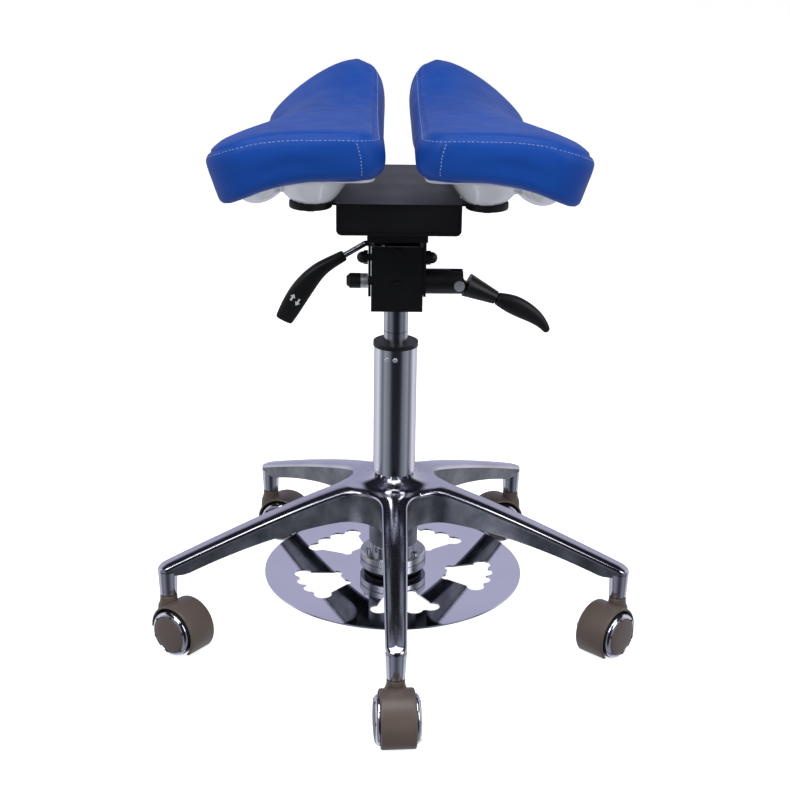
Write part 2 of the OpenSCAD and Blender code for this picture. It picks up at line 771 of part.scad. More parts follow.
module seat_bolts() {
  color("#7c7e83") at_pucks() {
    translate([0, 0, puck_low]) cylinder(r = bolt_r, h = puck_high - puck_low - fix_gap);
    translate([0, 0, puck_low - 4]) cylinder(r = 7, h = 4, $fn = 6);
  }
}

// ---- seat halves -----------------------------------------------------------------------------------

// Shape of one half: u is the distance from the centre line, y runs from front to rear
wide = seat_half_w / 195;
long = cushion_len / 366;
rise = rear_rise / 33;
function half_width(y) = wide * along([[-183, 188], [-150, 195], [-100, 192], [-50, 181], [0, 169],
  [50, 160], [100, 157], [150, 152], [183, 136]], y / long);
function crest_height(y) = cushion_z + along([[-183, -1], [-120, 0], [-60, 0], [0, 1 * rise],
  [60, 8 * rise], [120, 22 * rise], [165, 33 * rise], [183, 31 * rise]], y / long);
function crest_place(y) = wide * along([[-183, 70], [0, 60], [165, 48], [183, 48]], y / long);
function fall_power(y) = along([[-183, 3.2], [-100, 3.4], [-30, 2.7], [60, 1.7], [183, 1.3]], y / long);
function outer_fall(y) = along([[-183, 27], [-60, 35], [0, 43], [80, 58], [165, 69], [183, 66]], y / long);
function outer_sag(y) = along([[-183, 26], [0, 29], [80, 38], [165, 50], [183, 48]], y / long);
inner_u = cushion_gap / 2;
function top_height(u, y) =
  let (uc = crest_place(y), uo = half_width(y))
  u < uc ? crest_height(y) - 4 * pow((uc - u) / (uc - inner_u), 3)
         : crest_height(y) - outer_fall(y) * pow((u - uc) / (uo - uc), fall_power(y));
function under_height(u, y) =
  crest_height(y) - cushion_t
  - outer_sag(y) * pow(max(0, (u - inner_u) / (half_width(y) - inner_u)), 2.2);

// A closed ring of points at y, between the top and the underside
function cushion_ring(y, shrink, n) =
  let (uo = half_width(y),
       um = (inner_u + uo) / 2,
       zm = crest_height(y) - cushion_t / 2 - 8,
       top = [for (i = [0 : n]) let (u = lerp(inner_u, uo - 4, i / n)) [u, top_height(u, y)]],
       side = [[uo, (top_height(uo, y) + under_height(uo, y)) / 2]],
       low = [for (i = [n : -1 : 0]) let (u = lerp(inner_u, uo - 4, i / n)) [u, under_height(u, y)]])
  [for (p = concat(top, side, low)) [um + (p[0] - um) * shrink, y, zm + (p[1] - zm) * shrink]];

// How far a bowl reaches down to its puck: 1 on its flat foot, 0 outside its rim
foot_r = 24;
rim_r = 46;
function bowl(u, y) =
  max([for (sy = [-1, 1]) clamp01((rim_r - norm([u - puck_x + 2, y - sy * puck_y])) / (rim_r - foot_r))]);
function pan_ring(y, n) =
  let (u0 = inner_u + 14, u1 = half_width(y) - 16,
       top = [for (i = [0 : n]) let (u = lerp(u0, u1, i / n)) [u, y, under_height(u, y) - pan_gap]],
       low = [for (i = [n : -1 : 0]) let (u = lerp(u0, u1, i / n))
                [u, y, lerp(under_height(u, y) - pan_gap - shell_t, puck_high, bowl(u, y))]])
  concat(top, low);

// Skins a list of closed flat rings, each with the same number of points
module skin(rings) {
  m = len(rings[0]);
  last = len(rings) - 1;
  sides = [for (j = [0 : last - 1]) for (i = [0 : m - 1])
             let (a = j * m + i, b = j * m + (i + 1) % m) each [[a, a + m, b], [b, a + m, b + m]]];
  first_cap = [[for (i = [0 : m - 1]) i]];
  last_cap = [[for (i = [m - 1 : -1 : 0]) last * m + i]];
  polyhedron(points = [for (r = rings) each r], faces = concat(sides, first_cap, last_cap));
}

// The cushion and its shell share these cross sections, so that their curved faces run parallel
pan_end = cushion_len / 2 - 14;
pan_places = [for (i = [0 : 22]) lerp(-pan_end, pan_end, i / 22)];

module cushion() {
  end = cushion_len / 2;
  edge = 7;
  places = concat([-end + edge], pan_places, [end - edge]);
  rings = concat([cushion_ring(-end, 0.88, 12)],
    [for (y = places) cushion_ring(y, 1, 12)],
    [cushion_ring(end, 0.88, 12)]);
  color("#2450aa") skin(rings);
}

module shell() {
  color("#e9eaee") skin([for (y = pan_places) pan_ring(y, 12)]);
}

module right_cushion() { cushion(); }
module left_cushion() { mirror([1, 0, 0]) cushion(); }
module right_shell() { shell(); }
module left_shell() { mirror([1, 0, 0]) shell(); }

// ---- casters -----------------------------------------------------------------------------------------

// Everything below is drawn with the stem at the origin and the axle along Y, behind it on +X
module caster_hood(i) {
  half = hood_w / 2;
  color("#655a52") at_caster(i) difference() {
    union() {
      difference() {
        bar_y(hood_r, -half, half, trail, wheel_r);
        // Open below a line from the axle's height at the neck to just over the floor behind
        translate([trail, half + 1, wheel_r]) rotate([90, 0, 0]) linear_extrude(height = hood_w + 2)
          polygon([[-hood_r - 1, -1], [hood_r + 1, -wheel_r + 3], [hood_r + 1, -2 * hood_r],
                   [-hood_r - 1, -2 * hood_r]]);
      }
      bar_y(wheel_r - 6, -web_half, web_half, trail, wheel_r);
      translate([0, 0, wheel_r + 10]) cylinder(r = neck_d / 2, h = boss_z - slide_gap - wheel_r - 10);
    }
    for (side = [-1, 1]) {
      y0 = side > 0 ? web_half : -half - 2;
      bar_y(hood_in_r, y0, y0 + half + 2 - web_half, trail, wheel_r);
    }
    bar_y(axle_d / 2 + fix_gap, -half, half, trail, wheel_r);
    translate([0, 0, stem_low]) cylinder(r = stem_d / 2 + fix_gap, h = 40);
  }
}

module caster_pins(i) {
  color("#a9abb0") at_caster(i) {
    translate([0, 0, stem_low + 0.1]) cylinder(r = stem_d / 2, h = stem_high - stem_low - 2);
    translate([0, 0, stem_high - 2]) cylinder(r1 = stem_d / 2, r2 = stem_d / 2 - 1.5, h = 2);
    bar_y(axle_d / 2, -axle_half, axle_half, trail, wheel_r);
  }
}

// One wheel, its hub toward the web and its cap outward; side is 1 or -1
module wheel(i, side) {
  edge = 2.5;
  face = wheel_out - 1.5;
  color("#4d443e") at_caster(i) translate([trail, 0, wheel_r]) rotate([-90 * side, 0, 0]) difference() {
    rotate_extrude() polygon([[0, wheel_in], [8, wheel_in], [8, wheel_in + 2], [wheel_r - 4, wheel_in + 2],
      [wheel_r - edge, wheel_in + 3], [wheel_r, wheel_in + 3 + edge], [wheel_r, face - edge],
      [wheel_r - 1, face - 0.8], [wheel_r - edge, face], [wheel_r - 4, face],
      [wheel_r - 4.6, wheel_out], [0, wheel_out]]);
    translate([0, 0, wheel_in - 1]) cylinder(r = axle_d / 2 + run_gap, h = axle_half - wheel_in + 1.5);
  }
}

star_base();
outer_tube();
guide_bush();
thrust_bearing();
foot_collar();
collar_screws();
foot_rubber_ring();
foot_stem();
stem_nut();
tilt_washer();
foot_disc();
push_rod();
piston_rod();
rod_clip();
gas_cylinder();
release_pin();
taper_socket();
lower_bracket();
bracket_screws();
rocker_pin();
pivot_bolt();
pivot_nuts();
clamp_rod();
clamp_cap();
clamp_tube();
cam_screw();
cam_lever();
tilt_grip();
lever_rocker();
height_lever();
height_grip();
tilt_bracket();
seat_channel();
channel_plugs();
seat_pucks();
seat_bolts();
left_shell();
right_shell();
left_cushion();
right_cushion();
caster_hood(0);  // caster_hood_1
caster_pins(0);  // caster_pins_1
wheel(0, 1);  // wheel_a_1
wheel(0, -1);  // wheel_b_1
caster_hood(1);  // caster_hood_2
caster_pins(1);  // caster_pins_2
wheel(1, 1);  // wheel_a_2
wheel(1, -1);  // wheel_b_2
caster_hood(2);  // caster_hood_3
caster_pins(2);  // caster_pins_3
wheel(2, 1);  // wheel_a_3
wheel(2, -1);  // wheel_b_3
caster_hood(3);  // caster_hood_4
caster_pins(3);  // caster_pins_4
wheel(3, 1);  // wheel_a_4
wheel(3, -1);  // wheel_b_4
caster_hood(4);  // caster_hood_5
caster_pins(4);  // caster_pins_5
wheel(4, 1);  // wheel_a_5
wheel(4, -1);  // wheel_b_5
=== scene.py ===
import json
import math

import bmesh
import bpy
import numpy as np
from mathutils import Matrix, Vector
from mathutils.kdtree import KDTree


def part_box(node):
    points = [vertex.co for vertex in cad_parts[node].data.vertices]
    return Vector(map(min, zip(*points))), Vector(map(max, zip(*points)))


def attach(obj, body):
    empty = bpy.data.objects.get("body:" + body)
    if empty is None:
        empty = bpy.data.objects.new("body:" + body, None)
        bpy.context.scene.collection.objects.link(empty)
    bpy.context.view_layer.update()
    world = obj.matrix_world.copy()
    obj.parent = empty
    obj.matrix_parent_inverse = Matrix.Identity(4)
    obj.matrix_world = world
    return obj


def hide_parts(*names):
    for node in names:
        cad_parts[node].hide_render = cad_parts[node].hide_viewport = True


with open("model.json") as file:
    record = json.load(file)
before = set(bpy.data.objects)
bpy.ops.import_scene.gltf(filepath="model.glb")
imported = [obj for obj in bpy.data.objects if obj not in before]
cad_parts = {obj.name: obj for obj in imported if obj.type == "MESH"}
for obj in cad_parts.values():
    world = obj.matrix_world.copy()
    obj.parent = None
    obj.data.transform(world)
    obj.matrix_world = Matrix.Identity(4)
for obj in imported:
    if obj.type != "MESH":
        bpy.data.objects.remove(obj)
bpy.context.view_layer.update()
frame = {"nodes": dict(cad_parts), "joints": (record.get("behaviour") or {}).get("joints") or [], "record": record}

bl_info = {
    "name": "Saddle Stool",
    "version": (1, 0, 0),
    "blender": (4, 5, 0),
    "location": "View3D > Sidebar > Stool",
    "description": "Padded halves, shells, cast base, casters, levers and stage of a saddle stool",
    "category": "Object",
}

MM = 0.001
SIDES = {"left": -1.0, "right": 1.0}
NODES = frame["nodes"]
JOINTS = {joint["name"]: joint for joint in frame["joints"]}
CASTERS = range(1, 6)


def linear(code):
    """An sRGB hex colour as linear red, green and blue."""
    parts = [int(code[i : i + 2], 16) / 255 for i in (1, 3, 5)]
    return tuple(p / 12.92 if p <= 0.04045 else ((p + 0.055) / 1.055) ** 2.4 for p in parts)


# ---- what a user would change --------------------------------------------------------------------


class StoolColours(bpy.types.PropertyGroup):
    """Colours of the stool's finishes."""

    leather: bpy.props.FloatVectorProperty(
        name="Leather", description="Upholstery leather of the seat halves",
        subtype="COLOR", size=3, min=0, max=1, default=linear("#124AA6"))
    thread: bpy.props.FloatVectorProperty(
        name="Thread", description="Topstitching thread",
        subtype="COLOR", size=3, min=0, max=1, default=linear("#9DB4DC"))
    shell: bpy.props.FloatVectorProperty(
        name="Shell", description="Moulded shells under the seat halves",
        subtype="COLOR", size=3, min=0, max=1, default=linear("#EEF0F3"))
    caster: bpy.props.FloatVectorProperty(
        name="Caster", description="Hoods and caps of the casters",
        subtype="COLOR", size=3, min=0, max=1, default=linear("#62564F"))


class StoolSizes(bpy.types.PropertyGroup):
    """Sizes of the soft and fine details."""

    voxel: bpy.props.FloatProperty(
        name="Padding detail", description="Voxel size of the padding's mesh",
        default=4.5 * MM, min=3 * MM, max=8 * MM, unit="LENGTH")
    swell: bpy.props.FloatProperty(
        name="Swell", description="Furthest that the padding swells",
        default=2.5 * MM, min=0, max=8 * MM, unit="LENGTH")
    stitch_pitch: bpy.props.FloatProperty(
        name="Stitch pitch", description="From one stitch to the next",
        default=4.6 * MM, min=3 * MM, max=8 * MM, unit="LENGTH")
    camera_height: bpy.props.FloatProperty(
        name="Camera height", description="Height of the camera above the floor",
        default=0.900, min=0.1, max=3, unit="LENGTH")
    camera_distance: bpy.props.FloatProperty(
        name="Camera distance", description="Distance from the column's axis to the camera",
        default=1.7125, min=0.5, max=6, unit="LENGTH")


# ---- materials -----------------------------------------------------------------------------------


def add(tree, kind, links=(), **settings):
    """Adds a node, with its settings and (its socket, other node's output) links."""
    node = tree.nodes.new(kind)
    for key, value in settings.items():
        if hasattr(node, key):
            setattr(node, key, value)
        else:
            node.inputs[key.replace("_", " ")].default_value = value
    for socket, output in links:
        tree.links.new(output, node.inputs[socket])
    return node


def ramp(tree, factor, stops):
    """A colour ramp from (place, colour) stops."""
    node = add(tree, "ShaderNodeValToRGB", [("Fac", factor)])
    while len(node.color_ramp.elements) < len(stops):
        node.color_ramp.elements.new(0.5)
    for element, (place, colour) in zip(node.color_ramp.elements, stops):
        element.position = place
        element.color = (*colour, 1) if len(colour) == 3 else (colour[0],) * 3 + (1,)
    return node.outputs["Color"]


def material(name):
    """An empty material: itself, its tree, its shader and the place on the piece."""
    made = bpy.data.materials.new(name)
    made.use_nodes = True
    tree = made.node_tree
    place = add(tree, "ShaderNodeTexCoord").outputs["Object"]
    return made, tree, tree.nodes["Principled BSDF"], place


def cloudy(tree, place, scale, detail=2.0, **settings):
    """A cloudy field of values over the piece, finer with a larger scale."""
    return add(tree, "ShaderNodeTexNoise", [("Vector", place)], Scale=scale, Detail=detail,
               **settings).outputs["Fac"]


def steer(tree, field, socket, *stops):
    """Lets a field drive a shader's socket through (place, colour) stops."""
    tree.links.new(ramp(tree, field, stops), socket)


def raised(tree, field, strength, depth, under=None):
    """A surface raised by a field to a depth, over another raised surface if there is one."""
    links = [("Height", field)] + ([("Normal", under)] if under else [])
    return add(tree, "ShaderNodeBump", links, Strength=strength, Distance=depth).outputs["Normal"]


def shade(colour, factor):
    """A colour made darker or lighter."""
    return tuple(min(1.0, c * factor) for c in colour)


def upholstery_leather(colour):
    """Pigmented cowhide, smooth and finely grained: soft wide highlights, faint clouding of colour."""
    made, tree, skin, place = material("upholstery_leather")
    steer(tree, cloudy(tree, place, 9.0, 4.0), skin.inputs["Base Color"],
          (0.3, shade(colour, 0.86)), (0.7, shade(colour, 1.12)))
    # Grain cells of about 1.4 mm, a little coarser than real ones so that they show
    grain = add(tree, "ShaderNodeTexVoronoi", [("Vector", place)], feature="DISTANCE_TO_EDGE",
                Scale=1 / (1.4 * MM))
    cells = ramp(tree, grain.outputs["Distance"], [(0.0, (0.0,)), (0.18, (1.0,))])
    fine = raised(tree, cells, 0.07, 0.12 * MM)
    # Slow unevenness of the hide over its foam, about 30 mm across
    slow = cloudy(tree, place, 1 / (30 * MM))
    tree.links.new(raised(tree, slow, 0.10, 1.0 * MM, fine), skin.inputs["Normal"])
    worn = cloudy(tree, place, 40.0, 6.0)
    steer(tree, worn, skin.inputs["Roughness"], (0.3, (0.44,)), (0.75, (0.56,)))
    skin.inputs["Specular IOR Level"].default_value = 0.25
    return made


def polyester_thread(name, colour):
    """Twisted bonded thread: matt, with the twist as a fine band of light and dark."""
    made, tree, fibre, place = material(name)
    twist = cloudy(tree, place, 1 / (0.8 * MM))
    steer(tree, twist, fibre.inputs["Base Color"], (0.3, shade(colour, 0.7)), (0.7, colour))
    fibre.inputs["Roughness"].default_value = 0.7
    return made


def moulded_plastic(name, colour, rough, grain_mm, grain_depth, coat=0.0, spread=0.10):
    """Injection-moulded plastic: even colour, spark-eroded grain, slight roughness changes."""
    made, tree, skin, place = material(name)
    cloud = cloudy(tree, place, 18.0, 3.0)
    steer(tree, cloud, skin.inputs["Base Color"],
          (0.3, shade(colour, 1 - spread)), (0.7, shade(colour, 1 + spread)))
    steer(tree, cloud, skin.inputs["Roughness"], (0.25, (rough * 0.85,)), (0.75, (rough * 1.15,)))
    grain = cloudy(tree, place, 1 / (grain_mm * MM))
    tree.links.new(raised(tree, grain, grain_depth, 0.2 * MM), skin.inputs["Normal"])
    skin.inputs["Coat Weight"].default_value = coat
    skin.inputs["Coat Roughness"].default_value = 0.08
    return made


def plated_metal(name, colour, rough, streak=0.0, spread=0.04):
    """Plated or ground steel: mirror-like, with faint smears of handling, and grinding lines if any."""
    made, tree, skin, place = material(name)
    smear = cloudy(tree, place, 14.0, 5.0)
    steer(tree, smear, skin.inputs["Base Color"], (0.35, shade(colour, 1 - spread)), (0.65, colour))
    steer(tree, smear, skin.inputs["Roughness"], (0.35, (rough,)), (0.75, (rough * 1.8,)))
    skin.inputs["Metallic"].default_value = 1.0
    if streak:
        turned = add(tree, "ShaderNodeMapping", [("Vector", place)])
        turned.inputs["Scale"].default_value = (20, 20, 1600)
        lines = cloudy(tree, turned.outputs["Vector"], 1.0)
        tree.links.new(raised(tree, lines, streak, 0.05 * MM), skin.inputs["Normal"])
    return made


def polished_aluminium():
    """Die-cast aluminium, belt-polished: bright, slightly wavy, soft reflections with fine lines."""
    made, tree, skin, place = material("polished_aluminium")
    wave = cloudy(tree, place, 11.0, 3.0)
    steer(tree, wave, skin.inputs["Base Color"], (0.3, linear("#B4B4BF")), (0.7, linear("#CECEDA")))
    steer(tree, wave, skin.inputs["Roughness"], (0.3, (0.09,)), (0.75, (0.17,)))
    slow = cloudy(tree, place, 1 / (22 * MM))
    tree.links.new(raised(tree, slow, 0.12, 0.8 * MM), skin.inputs["Normal"])
    skin.inputs["Metallic"].default_value = 1.0
    return made


def cast_aluminium():
    """The same casting as it left the die: blotched grey, dull, with a fine pebbled skin."""
    made, tree, skin, place = material("cast_aluminium")
    blotch = cloudy(tree, place, 26.0, 8.0, Roughness=0.65)
    steer(tree, blotch, skin.inputs["Base Color"],
          (0.28, linear("#4B5056")), (0.5, linear("#75797F")), (0.74, linear("#A2A4AB")))
    steer(tree, blotch, skin.inputs["Roughness"], (0.3, (0.34,)), (0.75, (0.50,)))
    pebble = cloudy(tree, place, 1 / (1.6 * MM), 3.0)
    tree.links.new(raised(tree, pebble, 0.35, 0.25 * MM), skin.inputs["Normal"])
    skin.inputs["Metallic"].default_value = 0.9
    return made


def powder_coat(name, code, rough=0.42):
    """Polyester powder coat on steel: near black, with a fine orange-peel skin."""
    made, tree, skin, place = material(name)
    colour = linear(code)
    cloud = cloudy(tree, place, 15.0, 4.0)
    steer(tree, cloud, skin.inputs["Base Color"],
          (0.3, shade(colour, 0.8)), (0.7, shade(colour, 1.25)))
    steer(tree, cloud, skin.inputs["Roughness"], (0.3, (rough * 0.9,)), (0.7, (rough * 1.1,)))
    peel = cloudy(tree, place, 1 / (1.2 * MM))
    tree.links.new(raised(tree, peel, 0.12, 0.15 * MM), skin.inputs["Normal"])
    return made


# One finish for each of the record's material slots
def make_finishes(colours):
    """Every finish of the stool by name, made once."""
    return {
        "seat_leather": upholstery_leather(colours.leather),
        "thread": polyester_thread("polyester_thread", tuple(colours.thread)),
        "shell_white": moulded_plastic("glossy_abs", tuple(colours.shell), 0.16, 8.0, 0.03, 0.6, 0.02),
        "caster_taupe": moulded_plastic("caster_nylon", tuple(colours.caster), 0.40, 1.2, 0.25),
        "wheel_taupe": moulded_plastic("wheel_nylon", linear("#1B1918"), 0.45, 1.2, 0.2),
        "base_aluminium": polished_aluminium(),
        "cast_aluminium": cast_aluminium(),
        "chrome_tube": plated_metal("chrome_plate", linear("#D9DAE2"), 0.035),
        "chrome_disc": plated_metal("chrome_sheet", linear("#D4D5E2"), 0.03),
        "zinc_steel": plated_metal("zinc_plate", linear("#C2C5CB"), 0.22, 0.2, 0.12),
        "ground_steel": plated_metal("ground_steel", linear("#B5B7BF"), 0.14, 0.25),
        "satin_nickel": plated_metal("satin_nickel", linear("#E2E3E8"), 0.32),
        "bearing_bronze": plated_metal("sintered_bronze", linear("#B99A5A"), 0.35),
        "black_bush": moulded_plastic("acetal", linear("#0A0A0B"), 0.5, 2.0, 0.1),
        "black_rubber": moulded_plastic("moulded_rubber", linear("#0B0B0C"), 0.6, 1.0, 0.3),
        "black_steel": powder_coat("powder_coat", "#0A0A0C"),
        "black_oxide": powder_coat("black_oxide", "#101012", 0.38),
        "lever_plastic": moulded_plastic("glass_filled_nylon", linear("#0F0F11"), 0.42, 0.9, 0.35),
        "print_white": moulded_plastic("pad_print", linear("#D8DADD"), 0.5, 1.0, 0.05),
    }


FINISH = {}


def finish_cad_nodes():
    """Gives each CAD node that stays in sight the finish of its slot."""
    slots = {part["node"]: part["material_slot"] for part in frame["record"]["subparts"]}
    slots.update(dict.fromkeys(("clamp_rod", "cam_screw"), "satin_nickel"))
    for node, thing in NODES.items():
        for place in thing.material_slots:
            place.material = FINISH[slots[node]]


# ---- making meshes -------------------------------------------------------------------------------


def deselect():
    """Nothing selected and nothing in edit mode."""
    if bpy.context.object and bpy.context.object.mode != "OBJECT":
        bpy.ops.object.mode_set(mode="OBJECT")
    bpy.ops.object.select_all(action="DESELECT")


def choose(thing):
    """Makes one object the only selected and active one."""
    deselect()
    thing.select_set(True)
    bpy.context.view_layer.objects.active = thing


def from_points(name, points, faces):
    """A mesh object from points in metres and faces, its normals turned outwards."""
    mesh = bpy.data.meshes.new(name)
    mesh.from_pydata([tuple(p) for p in points], [], faces)
    mesh.update()
    thing = bpy.data.objects.new(name, mesh)
    bpy.context.scene.collection.objects.link(thing)
    return tidy(thing)


def tidy(thing, distance=0.01 * MM):
    """Merges doubled points and turns the faces outwards."""
    choose(thing)
    bpy.ops.object.mode_set(mode="EDIT")
    bpy.ops.mesh.select_all(action="SELECT")
    bpy.ops.mesh.remove_doubles(threshold=distance)
    bpy.ops.mesh.normals_make_consistent(inside=False)
    bpy.ops.object.mode_set(mode="OBJECT")
    return thing


def settle(thing):
    """Applies an object's place, turn and size to its mesh."""
    choose(thing)
    bpy.ops.object.transform_apply(location=True, rotation=True, scale=True)
    return thing


def apply_modifier(thing, kind, **settings):
    """Adds a modifier with its settings and applies it."""
    choose(thing)
    modifier = thing.modifiers.new(kind.title(), kind)
    for key, value in settings.items():
        setattr(modifier, key, value)
    bpy.ops.object.modifier_apply(modifier=modifier.name)
    return thing


def smooth(thing, angle=35):
    """Smooth shading up to an angle between faces."""
    choose(thing)
    bpy.ops.object.shade_smooth_by_angle(angle=math.radians(angle))
    return thing


def paint(thing, *finishes):
    """Puts finishes on an object's material slots, in order."""
    thing.data.materials.clear()
    for name in finishes:
        thing.data.materials.append(FINISH[name])
    return thing


def join(name, things):
    """One object from several, with the first one's finishes leading."""
    choose(things[0])
    for thing in things[1:]:
        thing.select_set(True)
    bpy.ops.object.join()
    whole = bpy.context.object
    whole.name = name
    return whole


def hand_over(thing, body, slot, *nodes):
    """Rides a piece on its body and hides the CAD nodes that it stands for; its slot is not used."""
    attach(thing, body)
    if nodes:
        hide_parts(*nodes)
    return thing


def lathe(name, profile, steps=48, axis="Z"):
    """A profile of (radius, height) points in millimetres spun about the origin's Z or Y axis."""
    thing = bpy.data.objects.new(name, bpy.data.meshes.new(name))
    bpy.context.scene.collection.objects.link(thing)
    edges = [(i, i + 1) for i in range(len(profile) - 1)]
    thing.data.from_pydata([(r * MM, 0, z * MM) for r, z in profile], edges, [])
    choose(thing)
    bpy.ops.object.mode_set(mode="EDIT")
    bpy.ops.mesh.select_all(action="SELECT")
    bpy.ops.mesh.spin(steps=steps, angle=math.tau, center=(0, 0, 0), axis=(0, 0, 1))
    bpy.ops.object.mode_set(mode="OBJECT")
    if axis == "Y":
        thing.data.transform(Matrix.Rotation(math.radians(-90), 4, "X"))
    return tidy(thing)


def loft(name, rings):
    """Closed rings of points joined along their order, with both ends capped."""
    count = len(rings[0])
    faces = []
    for j in range(len(rings) - 1):
        for i in range(count):
            k = (i + 1) % count
            faces.append((j * count + i, j * count + k, (j + 1) * count + k, (j + 1) * count + i))
    faces.append(tuple(range(count)))
    faces.append(tuple((len(rings) - 1) * count + i for i in range(count)))
    return from_points(name, [p for ring in rings for p in ring], faces)


# ---- the seat halves' shape ----------------------------------------------------------------------


def eased(pairs, x):
    """The value at x of one smooth curve through (x, value) pairs."""
    last = len(pairs) - 1
    k = next((k for k in range(last) if x < pairs[k + 1][0]), last - 1)
    (xa, ya), (xb, yb) = pairs[k], pairs[k + 1]
    before, after = pairs[max(0, k - 1)], pairs[min(last, k + 2)]
    leave = (yb - before[1]) / (xb - before[0]) * (xb - xa)
    arrive = (after[1] - ya) / (after[0] - xa) * (xb - xa)
    t = min(1.0, max(0.0, (x - xa) / (xb - xa)))
    return ((2 * t**3 - 3 * t**2 + 1) * ya + (t**3 - 2 * t**2 + t) * leave
            + (3 * t**2 - 2 * t**3) * yb + (t**3 - t**2) * arrive)


def spread(a, b, count):
    """count + 1 places evenly from a to b."""
    return [a + (b - a) * i / count for i in range(count + 1)]


def bunched(a, b, count):
    """count + 1 places from a to b, closer together towards both ends."""
    return [a + (b - a) * (1 - math.cos(math.pi * i / count)) / 2 for i in range(count + 1)]


def round_off(distance, radius):
    """How far a round edge has fallen away at a distance from the side it ends in."""
    reach = max(0.0, radius - max(0.0, distance))
    return radius - math.sqrt(max(0.0, radius**2 - reach**2))


class Half:
    """One seat half's surfaces, from the frame: u from the centre line, y from front to rear."""

    low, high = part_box("right_cushion")
    inner = low[0] / MM
    front, rear = low[1] / MM, high[1] / MM
    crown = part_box("seat_channel")[0][2] / MM + 119
    thick = 52
    pan_gap = 0.8
    # Radii of the corners in plan: by the gap and outside, at the front and at the rear
    inner_front, inner_rear, outer_front, outer_rear = 36, 52, 42, 52
    top_edge, low_edge = 12, 14
    # How much rounder the top edge is by the gap, how much further in its seam lies there, and how
    # far from the gap both have faded
    roll, roll_seam, roll_reach = 12, 7, 45
    # How far the outer side leans in towards its lower edge
    lean = 12

    @classmethod
    def nearness(cls, u):
        """1 at the gap, fading to 0 outwards."""
        return np.clip(1 - (u - cls.inner) / cls.roll_reach, 0, 1) ** 1.5

    @staticmethod
    def width(y):
        return eased([(-183, 194), (-150, 200), (-100, 196), (-50, 183), (0, 170), (50, 160),
                      (100, 157), (150, 152), (183, 136)], y)

    @classmethod
    def span(cls, y):
        """Where the half begins and ends at y, its corners rounded."""
        before, after = y - cls.front, cls.rear - y
        start = cls.inner + round_off(before, cls.inner_front) + round_off(after, cls.inner_rear)
        stop = cls.width(y) - round_off(before, cls.outer_front) - round_off(after, cls.outer_rear)
        return start, stop

    @classmethod
    def crest(cls, y):
        return cls.crown + eased([(-183, 3), (-120, 1), (-60, 0), (0, 1), (60, 8), (120, 22),
                                  (165, 33), (183, 31)], y)

    @staticmethod
    def crest_place(y):
        return eased([(-183, 70), (0, 60), (165, 48), (183, 48)], y)

    @classmethod
    def top(cls, u, y):
        place, outer = cls.crest_place(y), cls.width(y)
        if u < place:
            return cls.crest(y) - 4 * ((place - u) / (place - cls.inner)) ** 3
        power = eased([(-183, 3.2), (-100, 3.2), (-30, 2.6), (60, 1.8), (183, 1.55)], y)
        fall = eased([(-183, 22), (-60, 32), (0, 42), (80, 56), (165, 66), (183, 64)], y)
        return cls.crest(y) - fall * (min(1.0, (u - place) / (outer - place))) ** power

    @classmethod
    def outward(cls, u, y):
        """How far out a point lies, from 0 at the gap to 1 at the outer side."""
        return max(0.0, (u - cls.inner) / (cls.width(y) - cls.inner))

    @classmethod
    def under(cls, u, y):
        sag = eased([(-183, 38), (0, 30), (80, 34), (165, 42), (183, 42)], y)
        return cls.crest(y) - cls.thick - sag * cls.outward(u, y) ** 3.6


def half_outline(step=1.0):
    """The half's edge in plan as a dense closed chain of (u, y) points."""
    ys = bunched(Half.front, Half.rear, 240)
    inner = [(Half.span(y)[0], y) for y in ys]
    outer = [(Half.span(y)[1], y) for y in ys]
    front = [(u, Half.front) for u in np.arange(inner[0][0] + step, outer[0][0] - step / 2, step)]
    rear = [(u, Half.rear) for u in np.arange(outer[-1][0] - step, inner[-1][0] + step / 2, -step)]
    return np.array(front + outer + rear + inner[::-1])


OUTLINE = half_outline()


def from_edge(u, y):
    """Distance in plan from a point of the half to its edge."""
    return float(np.sqrt(((OUTLINE - (u, y)) ** 2).sum(axis=1).min()))


def cushion_ring(y, slack):
    """A closed ring of the half's cross section at y, drawn in by slack millimetres, in metres."""
    start, stop = Half.span(y)
    us = bunched(start + slack, stop - slack, 40)
    edges = [from_edge(u, y) - slack for u in us]
    above, below = [], []
    for u, d in zip(us, edges):
        edge = Half.top_edge + Half.roll * Half.nearness(u)
        above.append((u, Half.top(u, y) - slack - round_off(d, edge)))
        below.append((u - Half.lean * Half.outward(u, y) ** 3,
                      Half.under(u, y) + slack + round_off(d, Half.low_edge)))
    return [(u * MM, y * MM, z * MM) for u, z in above + below[::-1]]


def rim_path(inset, drop):
    """Points along the half's edge, drawn in by an inset and a drop below the top, in metres."""
    ahead, behind = np.roll(OUTLINE, -3, axis=0), np.roll(OUTLINE, 3, axis=0)
    way = ahead - behind
    way /= np.linalg.norm(way, axis=1, keepdims=True)
    inward = np.stack([-way[:, 1], way[:, 0]], axis=1)
    plan = OUTLINE + inward * (inset + Half.roll_seam * Half.nearness(OUTLINE[:, :1]))
    points = np.array([(u, y, Half.top(u, y) - drop) for u, y in plan]) * MM
    return soften(points, 6)


def soften(points, passes):
    """Rounds a dense closed chain by averaging neighbours."""
    for _ in range(passes):
        points = (np.roll(points, 1, axis=0) + 2 * points + np.roll(points, -1, axis=0)) / 4
    return points


# The seam round the top panel and the stitches below it, as (inset, drop) from the edge
SEAM = (4.6, 2.4)
TOPSTITCH = (1.4, 6.0)


def corner_seam(shift=0.0, step=0.6):
    """The upright seam in the band, beside the inner front corner."""
    inset, lean = 28, 8
    front, u = Half.front, Half.inner + inset + shift
    high, low = Half.top(u, front) - 6, Half.under(u, front) + 2
    zs = np.arange(high, low, -step)
    return np.array([(u - lean * (high - z) / (high - low), front, z) for z in zs]) * MM


